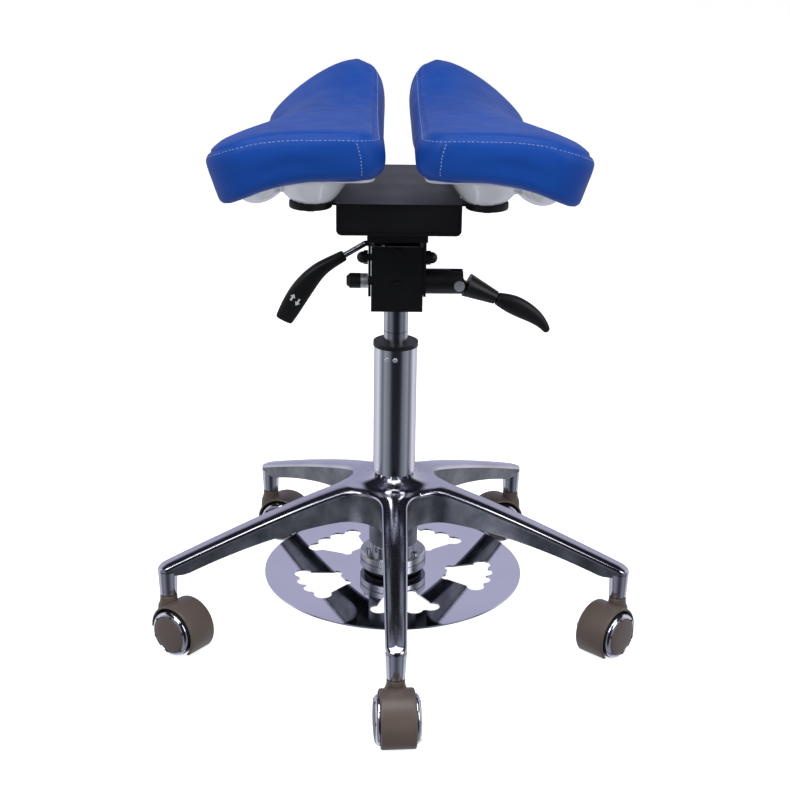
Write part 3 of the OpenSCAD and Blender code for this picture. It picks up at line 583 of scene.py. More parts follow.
def on_surface(thing, points):
    """Points moved to the nearest place on a mesh, with the surface's direction there."""
    places, normals = [], []
    for point in points:
        found, place, normal, _ = thing.closest_point_on_mesh(Vector(point))
        places.append(place)
        normals.append(normal)
    return np.array(places), np.array(normals)


def draw_in(thing, points, reach, depth):
    """Draws a mesh in along a chain of points, like leather pulled down by a seam."""
    tree = KDTree(len(points))
    for i, point in enumerate(points):
        tree.insert(point, i)
    tree.balance()
    mesh = thing.data
    for vertex in mesh.vertices:
        distance = tree.find(vertex.co)[2]
        if distance < reach:
            vertex.co = vertex.co - vertex.normal * depth * (1 - (distance / reach) ** 2) ** 2
    mesh.update()


def pad(thing, swell):
    """Blows a closed skin up a little with cloth pressure, never further than swell."""
    rest = np.array([v.co[:] for v in thing.data.vertices])
    choose(thing)
    cloth = thing.modifiers.new("Cloth", "CLOTH")
    cloth.settings.quality = 4
    cloth.settings.mass = 0.4
    cloth.settings.tension_stiffness = 30
    cloth.settings.compression_stiffness = 30
    cloth.settings.bending_stiffness = 2.0
    cloth.settings.use_pressure = True
    cloth.settings.uniform_pressure_force = 4.0
    cloth.settings.effector_weights.gravity = 0.0
    cloth.point_cache.frame_start, cloth.point_cache.frame_end = 1, 20
    scene = bpy.context.scene
    for step in range(1, 21):
        scene.frame_set(step)
    graph = bpy.context.evaluated_depsgraph_get()
    blown = np.array([v.co[:] for v in thing.evaluated_get(graph).to_mesh().vertices])
    thing.evaluated_get(graph).to_mesh_clear()
    thing.modifiers.clear()
    scene.frame_set(1)
    moved = blown - rest
    length = np.linalg.norm(moved, axis=1, keepdims=True)
    moved *= np.minimum(1.0, swell / np.maximum(length, 1e-9))
    thing.data.vertices.foreach_set("co", (rest + moved).ravel())
    thing.data.update()


def stitch_chain(name, places, normals, pitch, length=3.1, radius=0.42):
    """A row of thread stitches lying on a surface along a chain of places."""
    bpy.ops.object.select_all(action="DESELECT")
    bpy.ops.mesh.primitive_uv_sphere_add(segments=8, ring_count=5, radius=1)
    model = bpy.context.object
    shape = np.array([v.co[:] for v in model.data.vertices]) * [radius * MM, radius * MM, length / 2 * MM]
    faces = [tuple(f.vertices) for f in model.data.polygons]
    bpy.data.objects.remove(model)
    steps = np.linalg.norm(np.diff(places, axis=0), axis=1)
    along = np.concatenate([[0], np.cumsum(steps)])
    points, all_faces = [], []
    for place in np.arange(pitch / 2, along[-1], pitch):
        k = min(int(np.searchsorted(along, place)), len(places) - 2)
        way = Vector(places[min(k + 3, len(places) - 1)] - places[max(k - 3, 0)]).normalized()
        up = Vector(normals[k])
        side = way.cross(up).normalized()
        turn = np.array([side, up, way])
        base = len(points)
        points.extend(places[k] + np.array(up) * 0.15 * MM + shape @ turn)
        all_faces.extend([tuple(i + base for i in f) for f in faces])
    return from_points(name, points, all_faces)


def mirrored(thing, side):
    """Turns a right-hand mesh into the left-hand one where side is negative."""
    if side < 0:
        thing.data.transform(Matrix.Scale(-1, 4, (1, 0, 0)))
        thing.data.flip_normals()
    return thing


def copy_of(thing, name):
    """A copy with its own mesh."""
    made = thing.copy()
    made.data = thing.data.copy()
    made.name = name
    bpy.context.scene.collection.objects.link(made)
    return made


class STOOL_OT_cushions(bpy.types.Operator):
    """Pads the two seat halves, draws in their seams and sews them."""

    bl_idname = "stool.cushions"
    bl_label = "Seat cushions"

    def execute(self, context):
        sizes = context.scene.stool_sizes
        slack = sizes.swell / MM * 0.6
        ys = bunched(Half.front + slack, Half.rear - slack, 90)
        cover = loft("cushion_skin", [cushion_ring(y, slack) for y in ys])
        form = copy_of(cover, "cushion_form")
        apply_modifier(cover, "REMESH", mode="VOXEL", voxel_size=sizes.voxel, use_smooth_shade=True)
        # Back onto the smooth form, which takes away the steps of the voxels
        apply_modifier(cover, "SHRINKWRAP", target=form)
        apply_modifier(cover, "SMOOTH", factor=0.5, iterations=3)
        bpy.data.objects.remove(form)
        pad(cover, sizes.swell)
        apply_modifier(cover, "SMOOTH", factor=0.5, iterations=3)
        apply_modifier(cover, "SUBSURF", levels=1, render_levels=1)
        seam, _ = on_surface(cover, rim_path(*SEAM))
        upright, _ = on_surface(cover, corner_seam())
        draw_in(cover, seam, 3.2 * MM, 1.5 * MM)
        draw_in(cover, upright, 2.8 * MM, 1.0 * MM)
        choose(cover)
        bpy.ops.object.shade_smooth()
        places, normals = on_surface(cover, rim_path(*TOPSTITCH))
        thread = stitch_chain("topstitch", places, normals, sizes.stitch_pitch)
        places, normals = on_surface(cover, corner_seam(1.6))
        lace = stitch_chain("corner_stitch", places, normals, sizes.stitch_pitch * 0.8, 2.2, 0.55)
        paint(cover, "seat_leather")
        paint(thread, "thread")
        paint(lace, "thread")
        for side, sign in SIDES.items():
            piece = mirrored(copy_of(cover, f"{side}_padded_cover"), sign)
            hand_over(piece, "seat", "seat_leather", f"{side}_cushion")
            for row in (thread, lace):
                piece = mirrored(copy_of(row, f"{side}_{row.name}"), sign)
                smooth(piece, 80)
                hand_over(piece, "seat", "seat_leather")
        for model in (cover, thread, lace):
            bpy.data.objects.remove(model)
        return {"FINISHED"}


class STOOL_OT_shells(bpy.types.Operator):
    """Moulds the two shells under the seat halves, each with a bowl over every puck."""

    bl_idname = "stool.shells"
    bl_label = "Seat shells"

    foot, rim, wall = 21.5, 46.0, 2.8
    puck_r, puck_tall = 23.0, 7.5
    # The outer flank: how deep it hangs, its middle and its reach, across and along
    flank, flank_at, flank_reach = 20.0, (143, -94), (27, 48)

    def execute(self, context):
        low, high = (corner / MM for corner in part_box("seat_pucks"))
        puck_x, puck_y = high.x - self.puck_r, high.y - self.puck_r
        floor = low.z + self.puck_tall
        self.pucks(low.z, puck_x, puck_y)
        columns, rows = 44, 84
        ys = spread(Half.front + 37, Half.rear - 15, rows)
        bpy.ops.object.select_all(action="DESELECT")
        bpy.ops.mesh.primitive_grid_add(x_subdivisions=columns, y_subdivisions=rows, size=2)
        shell = bpy.context.object
        for vertex in shell.data.vertices:
            across, along = (vertex.co.x + 1) / 2, (vertex.co.y + 1) / 2
            y = ys[0] + (ys[-1] - ys[0]) * along
            ends = 1 - max(0.0, abs(2 * along - 1) - 0.86) / 0.14
            inset = 16 * (1 - math.sqrt(max(0.0, 1 - (1 - ends) ** 2)))
            start, stop = Half.span(y)[0] + 13 + inset, Half.span(y)[1] - 24 - inset
            u = start + (stop - start) * across
            pan = Half.under(u, y) - Half.pan_gap - self.wall
            depth = 0.0
            for sign in (-1, 1):
                away = math.hypot(u - puck_x + 2, y - sign * puck_y)
                t = min(1.0, max(0.0, (self.rim - away) / (self.rim - self.foot)))
                depth = max(depth, 0.6 * t + 0.4 * t * t * (3 - 2 * t))
            away = math.hypot((u - self.flank_at[0]) / self.flank_reach[0],
                              (y - self.flank_at[1]) / self.flank_reach[1])
            hang = self.flank * max(0.0, 1 - away**2) ** 0.7
            z = pan + min((floor - pan) * depth, -hang)
            vertex.co = Vector((u, y, z)) * MM
        apply_modifier(shell, "SOLIDIFY", thickness=self.wall * MM, offset=1.0)
        apply_modifier(shell, "BEVEL", width=0.8 * MM, segments=2, limit_method="ANGLE")
        tidy(shell)
        paint(shell, "shell_white")
        for side, sign in SIDES.items():
            piece = mirrored(copy_of(shell, f"{side}_moulded_shell"), sign)
            smooth(piece, 50)
            hand_over(piece, "seat", "shell_white", f"{side}_shell")
        bpy.data.objects.remove(shell)
        return {"FINISHED"}

    def pucks(self, low, x, y):
        """The four rubber pucks that the bowls stand on."""
        r, top = self.puck_r, low + self.puck_tall
        model = lathe("puck", [
            (4.1, low), (r - 1.2, low), (r - 0.3, low + 0.5), (r, low + 1.4), (r, top - 1.4),
            (r - 0.3, top - 0.5), (r - 1.2, top - 0.02), (4.1, top - 0.02), (4.1, low)], 48)
        copies = []
        for across in (-x, x):
            for along in (-y, y):
                copy = copy_of(model, "puck_copy")
                copy.data.transform(Matrix.Translation((across * MM, along * MM, 0)))
                copies.append(copy)
        bpy.data.objects.remove(model)
        whole = join("seat_puck_rubbers", copies)
        paint(whole, "black_rubber")
        smooth(whole, 40)
        hand_over(whole, "seat", "black_rubber", "seat_pucks")


# ---- star base -----------------------------------------------------------------------------------


class Star:
    """The casting's plan and heights, from the frame, in millimetres; s runs along an arm, t across."""

    tube_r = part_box("outer_tube")[1][0] / MM
    boss_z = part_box("star_base")[0][2] / MM
    top_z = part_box("star_base")[1][2] / MM - 7
    stem = Vector(JOINTS["caster_swivel_1"]["pos_m"][:2]).length / MM
    half_hub, half_end, flat_r = 15.5, 11.5, 58.0
    end_top, web_r, crown, edge_r = 35.0, 40.0, 1.6, 2.6
    turns = [math.atan2(JOINTS[f"caster_swivel_{i}"]["pos_m"][1], JOINTS[f"caster_swivel_{i}"]["pos_m"][0])
             for i in CASTERS]
    slope = (half_hub - half_end) / (stem - flat_r)
    bisector = math.pi / len(turns)
    reach = ((web_r * math.hypot(1, slope) + half_hub + slope * flat_r)
             / (math.sin(bisector) + slope * math.cos(bisector)))
    corner = Vector((reach * math.cos(bisector), reach * math.sin(bisector)))
    apex = (reach - web_r) * math.cos(bisector)

    @classmethod
    def half(cls, s):
        """Half the width at s: to the mitre, then round the corner, then along the arm and its end."""
        if s < cls.apex:
            return s * math.tan(cls.bisector)
        if s < cls.corner.x + cls.web_r * cls.slope:
            return cls.corner.y - math.sqrt(max(0.0, cls.web_r**2 - (s - cls.corner.x) ** 2))
        if s < cls.stem:
            return cls.half_hub - cls.slope * (s - cls.flat_r)
        return math.sqrt(max(0.0, cls.half_end**2 - (s - cls.stem) ** 2))

    @classmethod
    def inside(cls, s, t):
        """Distance from a point in plan to the nearest edge."""
        if s > cls.stem:
            return cls.half_end - math.hypot(s - cls.stem, t)
        round_corner = math.hypot(s - cls.corner.x, abs(t) - cls.corner.y) - cls.web_r
        if s < cls.corner.x:
            return max(0.0, round_corner)
        return cls.half_hub - cls.slope * (s - cls.flat_r) - abs(t)

    @classmethod
    def top(cls, s, t):
        """Height of the polished top: falling outwards, crowned, rounded off, sweeping up to the tube."""
        r = math.hypot(s, t)
        share = min(1.0, max(0.0, (r - cls.flat_r) / (cls.stem + cls.half_end - cls.flat_r)))
        z = cls.top_z - (cls.top_z - cls.boss_z - cls.end_top) * share**1.15
        d = max(0.0, cls.inside(s, t))
        z -= cls.crown * (1 - min(1.0, d / 12)) ** 2
        if d < cls.edge_r:
            z -= cls.edge_r - math.sqrt(cls.edge_r**2 - (cls.edge_r - d) ** 2)
        sweep = max(0.0, 1 - max(0.0, r - cls.tube_r) / 24)
        return z + 13 * sweep**2.6

    @classmethod
    def under(cls, s):
        share = min(1.0, max(0.0, (s - cls.flat_r) / (cls.stem - 20 - cls.flat_r)))
        return cls.boss_z + 68 - 43 * share**1.75


def star_sections():
    """Places along an arm, closer together on the round stretches."""
    near = spread(Star.tube_r * math.cos(Star.bisector), Star.apex, 10)[:-1]
    corner = spread(Star.apex, Star.corner.x, 14)[:-1]
    arm = spread(Star.corner.x, Star.stem, 34)[:-1]
    end = [Star.stem + Star.half_end * math.sin(math.radians(a)) for a in range(0, 90, 10)]
    return near + corner + arm + end + [Star.stem + Star.half_end]


def star_casting():
    """One casting: the top of every arm, and the lipped walls that follow its outline."""
    sections, across = star_sections(), 20
    shares = [math.sin(math.pi / 2 * k / (across / 2)) for k in range(-across // 2, across // 2 + 1)]
    points, faces = [], []
    # How far in each line of the wall stands from the outline, and its fall: below the top's
    # edge for the lip, and as a share of the wall's height below that
    lip, skin, wall = 1.5, 7.0, 4.0
    for turn in Star.turns:
        spin = np.array([[math.cos(turn), -math.sin(turn)], [math.sin(turn), math.cos(turn)]])

        def put(s, t, z):
            x, y = spin @ (s, t)
            points.append((x * MM, y * MM, z * MM))
            return len(points) - 1

        top = [[put(s, Star.half(s) * k, Star.top(s, Star.half(s) * k)) for k in shares] for s in sections]
        for a, b in zip(top, top[1:]):
            faces += [(a[k], b[k], b[k + 1], a[k + 1]) for k in range(across)]
        for side in (1, -1):
            edge = [(s, side * Star.half(s)) for s in sections if s >= Star.apex - 0.01]
            walls = []
            for k, (s, t) in enumerate(edge):
                before, after = edge[max(0, k - 1)], edge[min(len(edge) - 1, k + 1)]
                way = Vector((after[0] - before[0], after[1] - before[1])).normalized()
                out = Vector((-way.y, way.x)) * side
                if k == 0:
                    out = Vector((math.cos(Star.bisector), side * math.sin(Star.bisector)))
                if k == len(edge) - 1:
                    out = Vector((1, 0))
                high, low = Star.top(s, t), Star.under(min(s, Star.stem - 20))
                low = min(low, high - 8)
                ladder = [(0, high), (0.1, high - 1.5), (lip, high - 2.1), (lip + 0.5, high - 5),
                          (lip + 0.2, low + 3), (lip + 0.8, low + 0.8), (lip + 1.8, low),
                          (lip + wall - 0.8, low), (lip + wall, low + 1), (lip + wall + 0.5, high - skin)]
                walls.append([put(s - out.x * d, t - out.y * d, z) for d, z in ladder])
            for a, b in zip(walls, walls[1:]):
                faces += [(a[k], a[k + 1], b[k + 1], b[k]) for k in range(len(a) - 1)]
            if side == 1:
                right = walls
        # The ceiling of the hollow, from the inner line of one wall to the other's
        for a, b, c, d in zip(right, right[1:], walls, walls[1:]):
            faces.append((a[-1], c[-1], d[-1], b[-1]))
    casting = from_points("star_casting", points, faces)
    paint(casting, "base_aluminium", "cast_aluminium")
    return casting


class STOOL_OT_star(bpy.types.Operator):
    """Casts the five-arm base: crowned polished tops, lipped rough walls, hub and stem bosses."""

    bl_idname = "stool.star"
    bl_label = "Star base"

    def execute(self, context):
        casting = star_casting()
        mark_rough(casting)
        pieces = [casting]
        # The hub under the arms, with a small bead at its lower edge
        hub_r, bore = 29.0, Star.tube_r + 0.02
        hub_low = Star.boss_z + 30
        hub = lathe("hub", [
            (bore, hub_low + 0.6), (bore + 0.6, hub_low), (hub_r - 1.2, hub_low), (hub_r, hub_low + 1.2),
            (hub_r, Star.boss_z + 70), (hub_r, Star.top_z - 8), (bore, Star.top_z - 8),
            (bore, hub_low + 0.6)], 64)
        paint(hub, "cast_aluminium")
        pieces.append(hub)
        boss = lathe("boss", [
            (5.6, Star.boss_z + 0.4), (6.2, Star.boss_z), (9.2, Star.boss_z), (10.0, Star.boss_z + 0.8),
            (10.6, Star.boss_z + 14), (11.3, Star.boss_z + 29.5), (5.6, Star.boss_z + 29.5),
            (5.6, Star.boss_z + 0.4)], 40)
        paint(boss, "base_aluminium")
        for turn in Star.turns:
            copy = copy_of(boss, "boss_copy")
            copy.data.transform(Matrix.Translation((Star.stem * math.cos(turn) * MM,
                                                    Star.stem * math.sin(turn) * MM, 0)))
            pieces.append(copy)
        bpy.data.objects.remove(boss)
        base = join("star_base_casting", pieces)
        smooth(base, 32)
        hand_over(base, "base", "base_aluminium", "star_base")
        return {"FINISHED"}


def mark_rough(casting):
    """The second finish on every face of a wall or a ceiling, below the polished lip."""
    for face in casting.data.polygons:
        outward = Vector((face.center.x, face.center.y)).length / MM
        steep = abs(face.normal.z) < 0.55
        high = face.center.z / MM > Star.top(outward, 0) - Star.crown - Star.edge_r - 2.4
        face.material_index = 0 if high and face.normal.z > -0.5 else 1 if steep or face.normal.z < 0 else 0


# ---- casters -------------------------------------------------------------------------------------


def caster_place(i):
    """The matrix from a caster's own frame, stem upright at its origin and axle along Y on +X."""
    stem = Vector(JOINTS[f"caster_swivel_{i}"]["pos_m"][:2])
    wheels = [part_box(f"wheel_{side}_{i}") for side in "ab"]
    middle = sum(((a + b) / 2 for a, b in wheels), Vector()) / 2
    heading = Vector((middle.x, middle.y)) - stem
    turn = math.atan2(heading.y, heading.x)
    return Matrix.Translation((stem.x, stem.y, 0)) @ Matrix.Rotation(turn, 4, "Z"), heading.length


def ring_of(name, section, first, last, steps):
    """A closed section of (radius, y) points swept round the Y axis from one angle to another."""
    rings = []
    for k in range(steps + 1):
        a = math.radians(first + (last - first) * k / steps)
        rings.append([(r * math.cos(a) * MM, y * MM, r * math.sin(a) * MM) for r, y in section])
    return loft(name, rings)


class Caster:
    """Sizes shared by a caster's hood and wheels, from the frame, in millimetres."""

    wheel_r = JOINTS["wheel_spin_a_1"]["pos_m"][2] / MM
    hood_in, hood_out, half = 30.0, 32.5, 19.0
    web_half, face = 3.5, 25.5
    neck_r, neck_top = 10.0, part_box("caster_hood_1")[1][2] / MM


def hood_model(trail):
    """The hood, its web between the wheels and its neck, in the caster's own frame."""
    c = Caster
    bend = 2.2
    turns = [math.radians(a) for a in range(0, 91, 18)]
    arc = [(c.hood_out - bend + bend * math.cos(a), c.half - bend + bend * math.sin(a)) for a in turns]
    section = ([(r, -y) for r, y in reversed(arc)] + [(c.hood_out, 0)] + arc
               + [(c.hood_in + 0.1, c.half), (c.hood_in, c.half - 0.6), (c.hood_in, 0),
                  (c.hood_in, -c.half + 0.6), (c.hood_in + 0.1, -c.half)])
    hood = ring_of("hood", section, -41, 181, 56)
    # The web: a sector as wide as the hood's inside, down to a line under the axle
    plate = []
    for k in range(41):
        a = math.radians(-40 + 220 * k / 40)
        plate.append(((c.hood_in + 1) * math.cos(a), (c.hood_in + 1) * math.sin(a)))
    plate += [(-14, -16), (0, -20), (16, -21)]
    web = loft("web", [[(x * MM, side * c.web_half * MM, z * MM) for x, z in plate] for side in (-1, 1)])
    for thing in (hood, web):
        thing.data.transform(Matrix.Translation((trail, 0, c.wheel_r * MM)))
    top = c.neck_top
    neck = lathe("neck", [
        (0, 40), (c.neck_r + 3.4, 40), (c.neck_r + 2.6, 51), (c.neck_r + 1.2, 54), (c.neck_r + 0.3, 57),
        (c.neck_r, 60), (c.neck_r, top - 1.6), (c.neck_r - 0.8, top - 0.7), (c.neck_r - 2.0, top - 0.7),
        (c.neck_r - 2.0, top), (0, top)], 40)
    for other in (web, neck):
        apply_modifier(hood, "BOOLEAN", operation="UNION", object=other, solver="EXACT")
        bpy.data.objects.remove(other)
    # The wheels' pockets, cut again where the neck's foot reached into them
    for side in (-1, 1):
        pocket = lathe("pocket", [(0, c.web_half), (c.hood_in - 0.05, c.web_half),
                                  (c.hood_in - 0.05, 30), (0, 30)], 56, "Y")
        if side < 0:
            pocket.data.transform(Matrix.Scale(-1, 4, (0, 1, 0)))
            tidy(pocket)
        pocket.data.transform(Matrix.Translation((trail, 0, c.wheel_r * MM)))
        apply_modifier(hood, "BOOLEAN", operation="DIFFERENCE", object=pocket, solver="EXACT")
        bpy.data.objects.remove(pocket)
    tidy(hood)
    paint(hood, "caster_taupe")
    return hood


def wheel_model(trail):
    """A wheel on the +Y side: tread, side walls, bright ring with notches, and cap."""
    c = Caster
    inner, face, r = c.web_half + 0.5, c.face, c.wheel_r
    tyre = lathe("tyre", [
        (3.05, inner), (8, inner), (8, inner + 2), (r - 5, inner + 2), (r - 2.5, inner + 2.6),
        (r - 0.8, inner + 4), (r, inner + 6), (r, face - 9.5), (r - 0.2, face - 7.4),
        (r - 0.7, face - 6.0), (r - 1.0, face - 6.4), (3.05, face - 6.4), (3.05, inner)], 56, "Y")
    paint(tyre, "wheel_taupe")
    band = lathe("band", [
        (r - 1.0, face - 6.3), (r - 0.9, face - 4.9), (r - 1.7, face - 3.4), (r - 2.9, face - 2.3),
        (r - 4.1, face - 1.6), (r - 5.0, face - 1.5), (r - 5.4, face - 2.0), (r - 5.4, face - 6.3),
        (r - 1.0, face - 6.3)], 56, "Y")
    paint(band, "chrome_disc")
    cap = lathe("cap", [
        (0, face - 6.3), (r - 5.6, face - 6.3), (r - 5.6, face - 2.1), (r - 6.2, face - 1.4),
        (r - 8.0, face - 0.9), (r - 15, face - 0.3), (0, face)], 56, "Y")
    paint(cap, "caster_taupe")
    notches = []
    for k in range(6):
        a = math.radians(20 + 60 * k)
        bpy.ops.object.select_all(action="DESELECT")
        bpy.ops.mesh.primitive_cube_add(size=1, location=(0, 0, 0))
        notch = bpy.context.object
        apply_modifier(notch, "BEVEL", width=0.2, segments=2)
        notch.data.transform(Matrix.Diagonal((2.0 * MM, 1.4 * MM, 3.6 * MM, 1)))
        notch.data.transform(Matrix.Translation(((r - 4.6) * MM, (face - 2.0) * MM, 0)))
        notch.data.transform(Matrix.Rotation(-a, 4, "Y"))
        paint(notch, "black_bush")
        notches.append(notch)
    wheel = join("wheel_model", [tyre, band, cap] + notches)
    wheel.data.transform(Matrix.Translation((trail, 0, c.wheel_r * MM)))
    return wheel


class STOOL_OT_casters(bpy.types.Operator):
    """Moulds a hood and a wheel once, and sets a copy at every stem."""

    bl_idname = "stool.casters"
    bl_label = "Casters"

    def execute(self, context):
        trail = caster_place(1)[1]
        hood, wheel = hood_model(trail), wheel_model(trail)
        for i in CASTERS:
            place, _ = caster_place(i)
            cover = copy_of(hood, f"hood_{i}_moulding")
            cover.data.transform(place)
            smooth(cover, 35)
            hand_over(cover, f"caster_{i}", "caster_taupe", f"caster_hood_{i}")
            for side in "ab":
                middle = sum(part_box(f"wheel_{side}_{i}"), Vector()) / 2
                on_plus = (place.inverted() @ middle).y > 0
                copy = copy_of(wheel, f"wheel_{side}_{i}_moulding")
                if not on_plus:
                    copy.data.transform(Matrix.Scale(-1, 4, (0, 1, 0)))
                    copy.data.flip_normals()
                copy.data.transform(place)
                smooth(copy, 35)
                hand_over(copy, f"wheel_{side}_{i}", "wheel_taupe", f"wheel_{side}_{i}")
        for model in (hood, wheel):
            bpy.data.objects.remove(model)
        return {"FINISHED"}


# ---- levers --------------------------------------------------------------------------------------


def grip_loft(name, stations, y, steps=20):
    """A grip through (x, z, half height, half width, squareness) stations, rounded off at both ends."""
    rings = []
    count = len(stations)
    for k, (x, z, tall, wide, square) in enumerate(stations):
        before, after = stations[max(0, k - 1)], stations[min(count - 1, k + 1)]
        way = Vector((after[0] - before[0], after[1] - before[1])).normalized()
        up = Vector((-way.y, way.x))
        ring = []
        for j in range(steps):
            a = 2 * math.pi * j / steps
            c, s = math.cos(a), math.sin(a)
            pull = (abs(c) ** square + abs(s) ** square) ** (-1 / square)
            high, side = tall * s * pull, wide * c * pull
            ring.append(((x + up.x * high) * MM, (y + side) * MM, (z + up.y * high) * MM))
        rings.append(ring)
    return loft(name, rings)


class STOOL_OT_grips(bpy.types.Operator):
    """Moulds the two levers' grips and their small marks."""

    bl_idname = "stool.grips"
    bl_label = "Lever grips"

    # Each grip's stations, from its lever's pivot: (x, z, half height, half width, squareness)
    tilt = [(42.8, -17.5, 7.2, 7.0, 2.2), (45.5, -18.7, 7.6, 7.2, 2.2), (50, -20.5, 8.8, 7.6, 2.4),
            (56, -22.9, 10.2, 8.0, 2.6), (64, -26, 11.2, 8.0, 2.6), (73, -30.5, 11.0, 7.6, 2.6),
            (82, -35.5, 9.8, 6.8, 2.4), (90, -41.1, 8.2, 5.8, 2.4), (96, -47, 6.4, 4.8, 2.2),
            (100.5, -53, 4.8, 4.0, 2.2), (103, -57.5, 3.4, 3.0, 2.0)]
    height = [(-42.5, -13.6, 6.0, 6.0, 2.2), (-45, -15.0, 6.4, 6.3, 2.3), (-52, -18.8, 6.8, 6.6, 2.4),
              (-62, -24.6, 7.6, 7.0, 2.6), (-70, -30.0, 8.8, 7.4, 2.8), (-78, -37.5, 10.2, 7.4, 3.0),
              (-86, -47, 11.6, 7.0, 3.2), (-94, -58, 12.4, 6.4, 3.4), (-101, -69.5, 12.2, 5.8, 3.4),
              (-107, -80.5, 11.4, 5.2, 3.6), (-111.5, -88.5, 10.4, 4.8, 3.6),
              (-113, -91.5, 9.8, 4.4, 3.4)]

    def execute(self, context):
        self.grip("tilt", self.tilt, "tilt_lever")
        self.arrows(self.grip("height", self.height, "height_lever"))
        return {"FINISHED"}

    def grip(self, name, stations, body):
        """A grip in one smooth loft, on the lever that its joint turns."""
        x, y, z = (v / MM for v in JOINTS[f"{name}_release"]["pos_m"])
        placed = [(x + a, z + b, *sizes) for a, b, *sizes in stations]
        moulding = grip_loft(f"{name}_grip_moulding", placed, y)
        paint(moulding, "lever_plastic")
        apply_modifier(moulding, "SUBSURF", levels=2, render_levels=2)
        smooth(moulding, 60)
        return hand_over(moulding, body, "lever_plastic", f"{name}_grip")

    def arrows(self, grip):
        """Two plain arrows printed on the height grip, one up and one down."""
        x, y, z = (v / MM for v in JOINTS["height_release"]["pos_m"])
        centre, along = Vector((x - 99, z - 65)), Vector((-0.53, -0.85))
        across = Vector((-along.y, along.x))
        outline = [(0, 5.5), (3.2, 1.2), (1.1, 1.2), (1.1, -3.5), (-1.1, -3.5), (-1.1, 1.2), (-3.2, 1.2)]
        for k, (shift, flip) in enumerate(((-4.0, 1), (4.0, -1))):
            flat = []
            for a, b in outline:
                place = centre + across * (a + shift) + along * (b * -flip)
                found, hit, normal, _ = grip.ray_cast(
                    Vector((place.x * MM, (y - 30) * MM, place.y * MM)), Vector((0, 1, 0)))
                depth = hit.y if found else (y - 5) * MM
                flat.append((place.x * MM, depth, place.y * MM))
            front = [(px, py - 0.15 * MM, pz) for px, py, pz in flat]
            arrow = loft(f"height_arrow_{k + 1}", [front, [(px, py + 0.5 * MM, pz) for px, py, pz in flat]])
            paint(arrow, "print_white")
            hand_over(arrow, "height_lever", "lever_plastic")


class STOOL_OT_column_marks(bpy.types.Operator):
    """Presses two small dimples near the outer tube's top and a fine line round the gas cylinder."""

    bl_idname = "stool.column_marks"
    bl_label = "Column marks"

    def execute(self, context):
        radius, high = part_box("outer_tube")[1][0] / MM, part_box("outer_tube")[1][2] / MM
        for k, angle in enumerate((-24, -2)):
            dimple = lathe(f"tube_dimple_{k + 1}", [
                (0, 0.9), (1.5, 0.75), (2.5, 0.35), (3.0, -0.3), (2.6, -1.0), (0, -1.0)], 20, "Y")
            dimple.data.transform(Matrix.Rotation(math.pi, 4, "Z"))
            dimple.data.transform(Matrix.Translation((0, -radius * MM, (high - 11) * MM)))
            dimple.data.transform(Matrix.Rotation(math.radians(angle), 4, "Z"))
            paint(dimple, "satin_nickel")
            smooth(dimple, 40)
            hand_over(dimple, "base", "chrome_tube")
        radius, z = 14.0, high + 18
        line = lathe("cylinder_line", [
            (radius - 0.4, z - 0.4), (radius + 0.03, z - 0.35), (radius + 0.03, z + 0.35),
            (radius - 0.4, z + 0.4), (radius - 0.4, z - 0.4)], 96)
        paint(line, "black_oxide")
        smooth(line, 40)
        hand_over(line, "lift", "black_oxide")
        return {"FINISHED"}


# ---- finishes of the remaining nodes, and the stage ----------------------------------------------


class STOOL_OT_finishes(bpy.types.Operator):
    """Makes every finish and gives it to the metal, rubber and plastic pieces that keep their shape."""

    bl_idname = "stool.finishes"
    bl_label = "Finishes"

    def execute(self, context):
        FINISH.update(make_finishes(context.scene.stool_colours))
        finish_cad_nodes()
        return {"FINISHED"}


def area_light(name, place, target, size, power, colour=(1, 1, 1)):
    """A soft rectangular light that looks at a point."""
    lamp = bpy.data.lights.new(name, "AREA")
    lamp.shape = "RECTANGLE"
    lamp.size, lamp.size_y = size
    lamp.energy = power
    lamp.color = colour
    thing = bpy.data.objects.new(name, lamp)
    thing.location = place
    thing.rotation_euler = (Vector(target) - Vector(place)).to_track_quat("-Z", "Y").to_euler()
    bpy.context.scene.collection.objects.link(thing)
    return thing


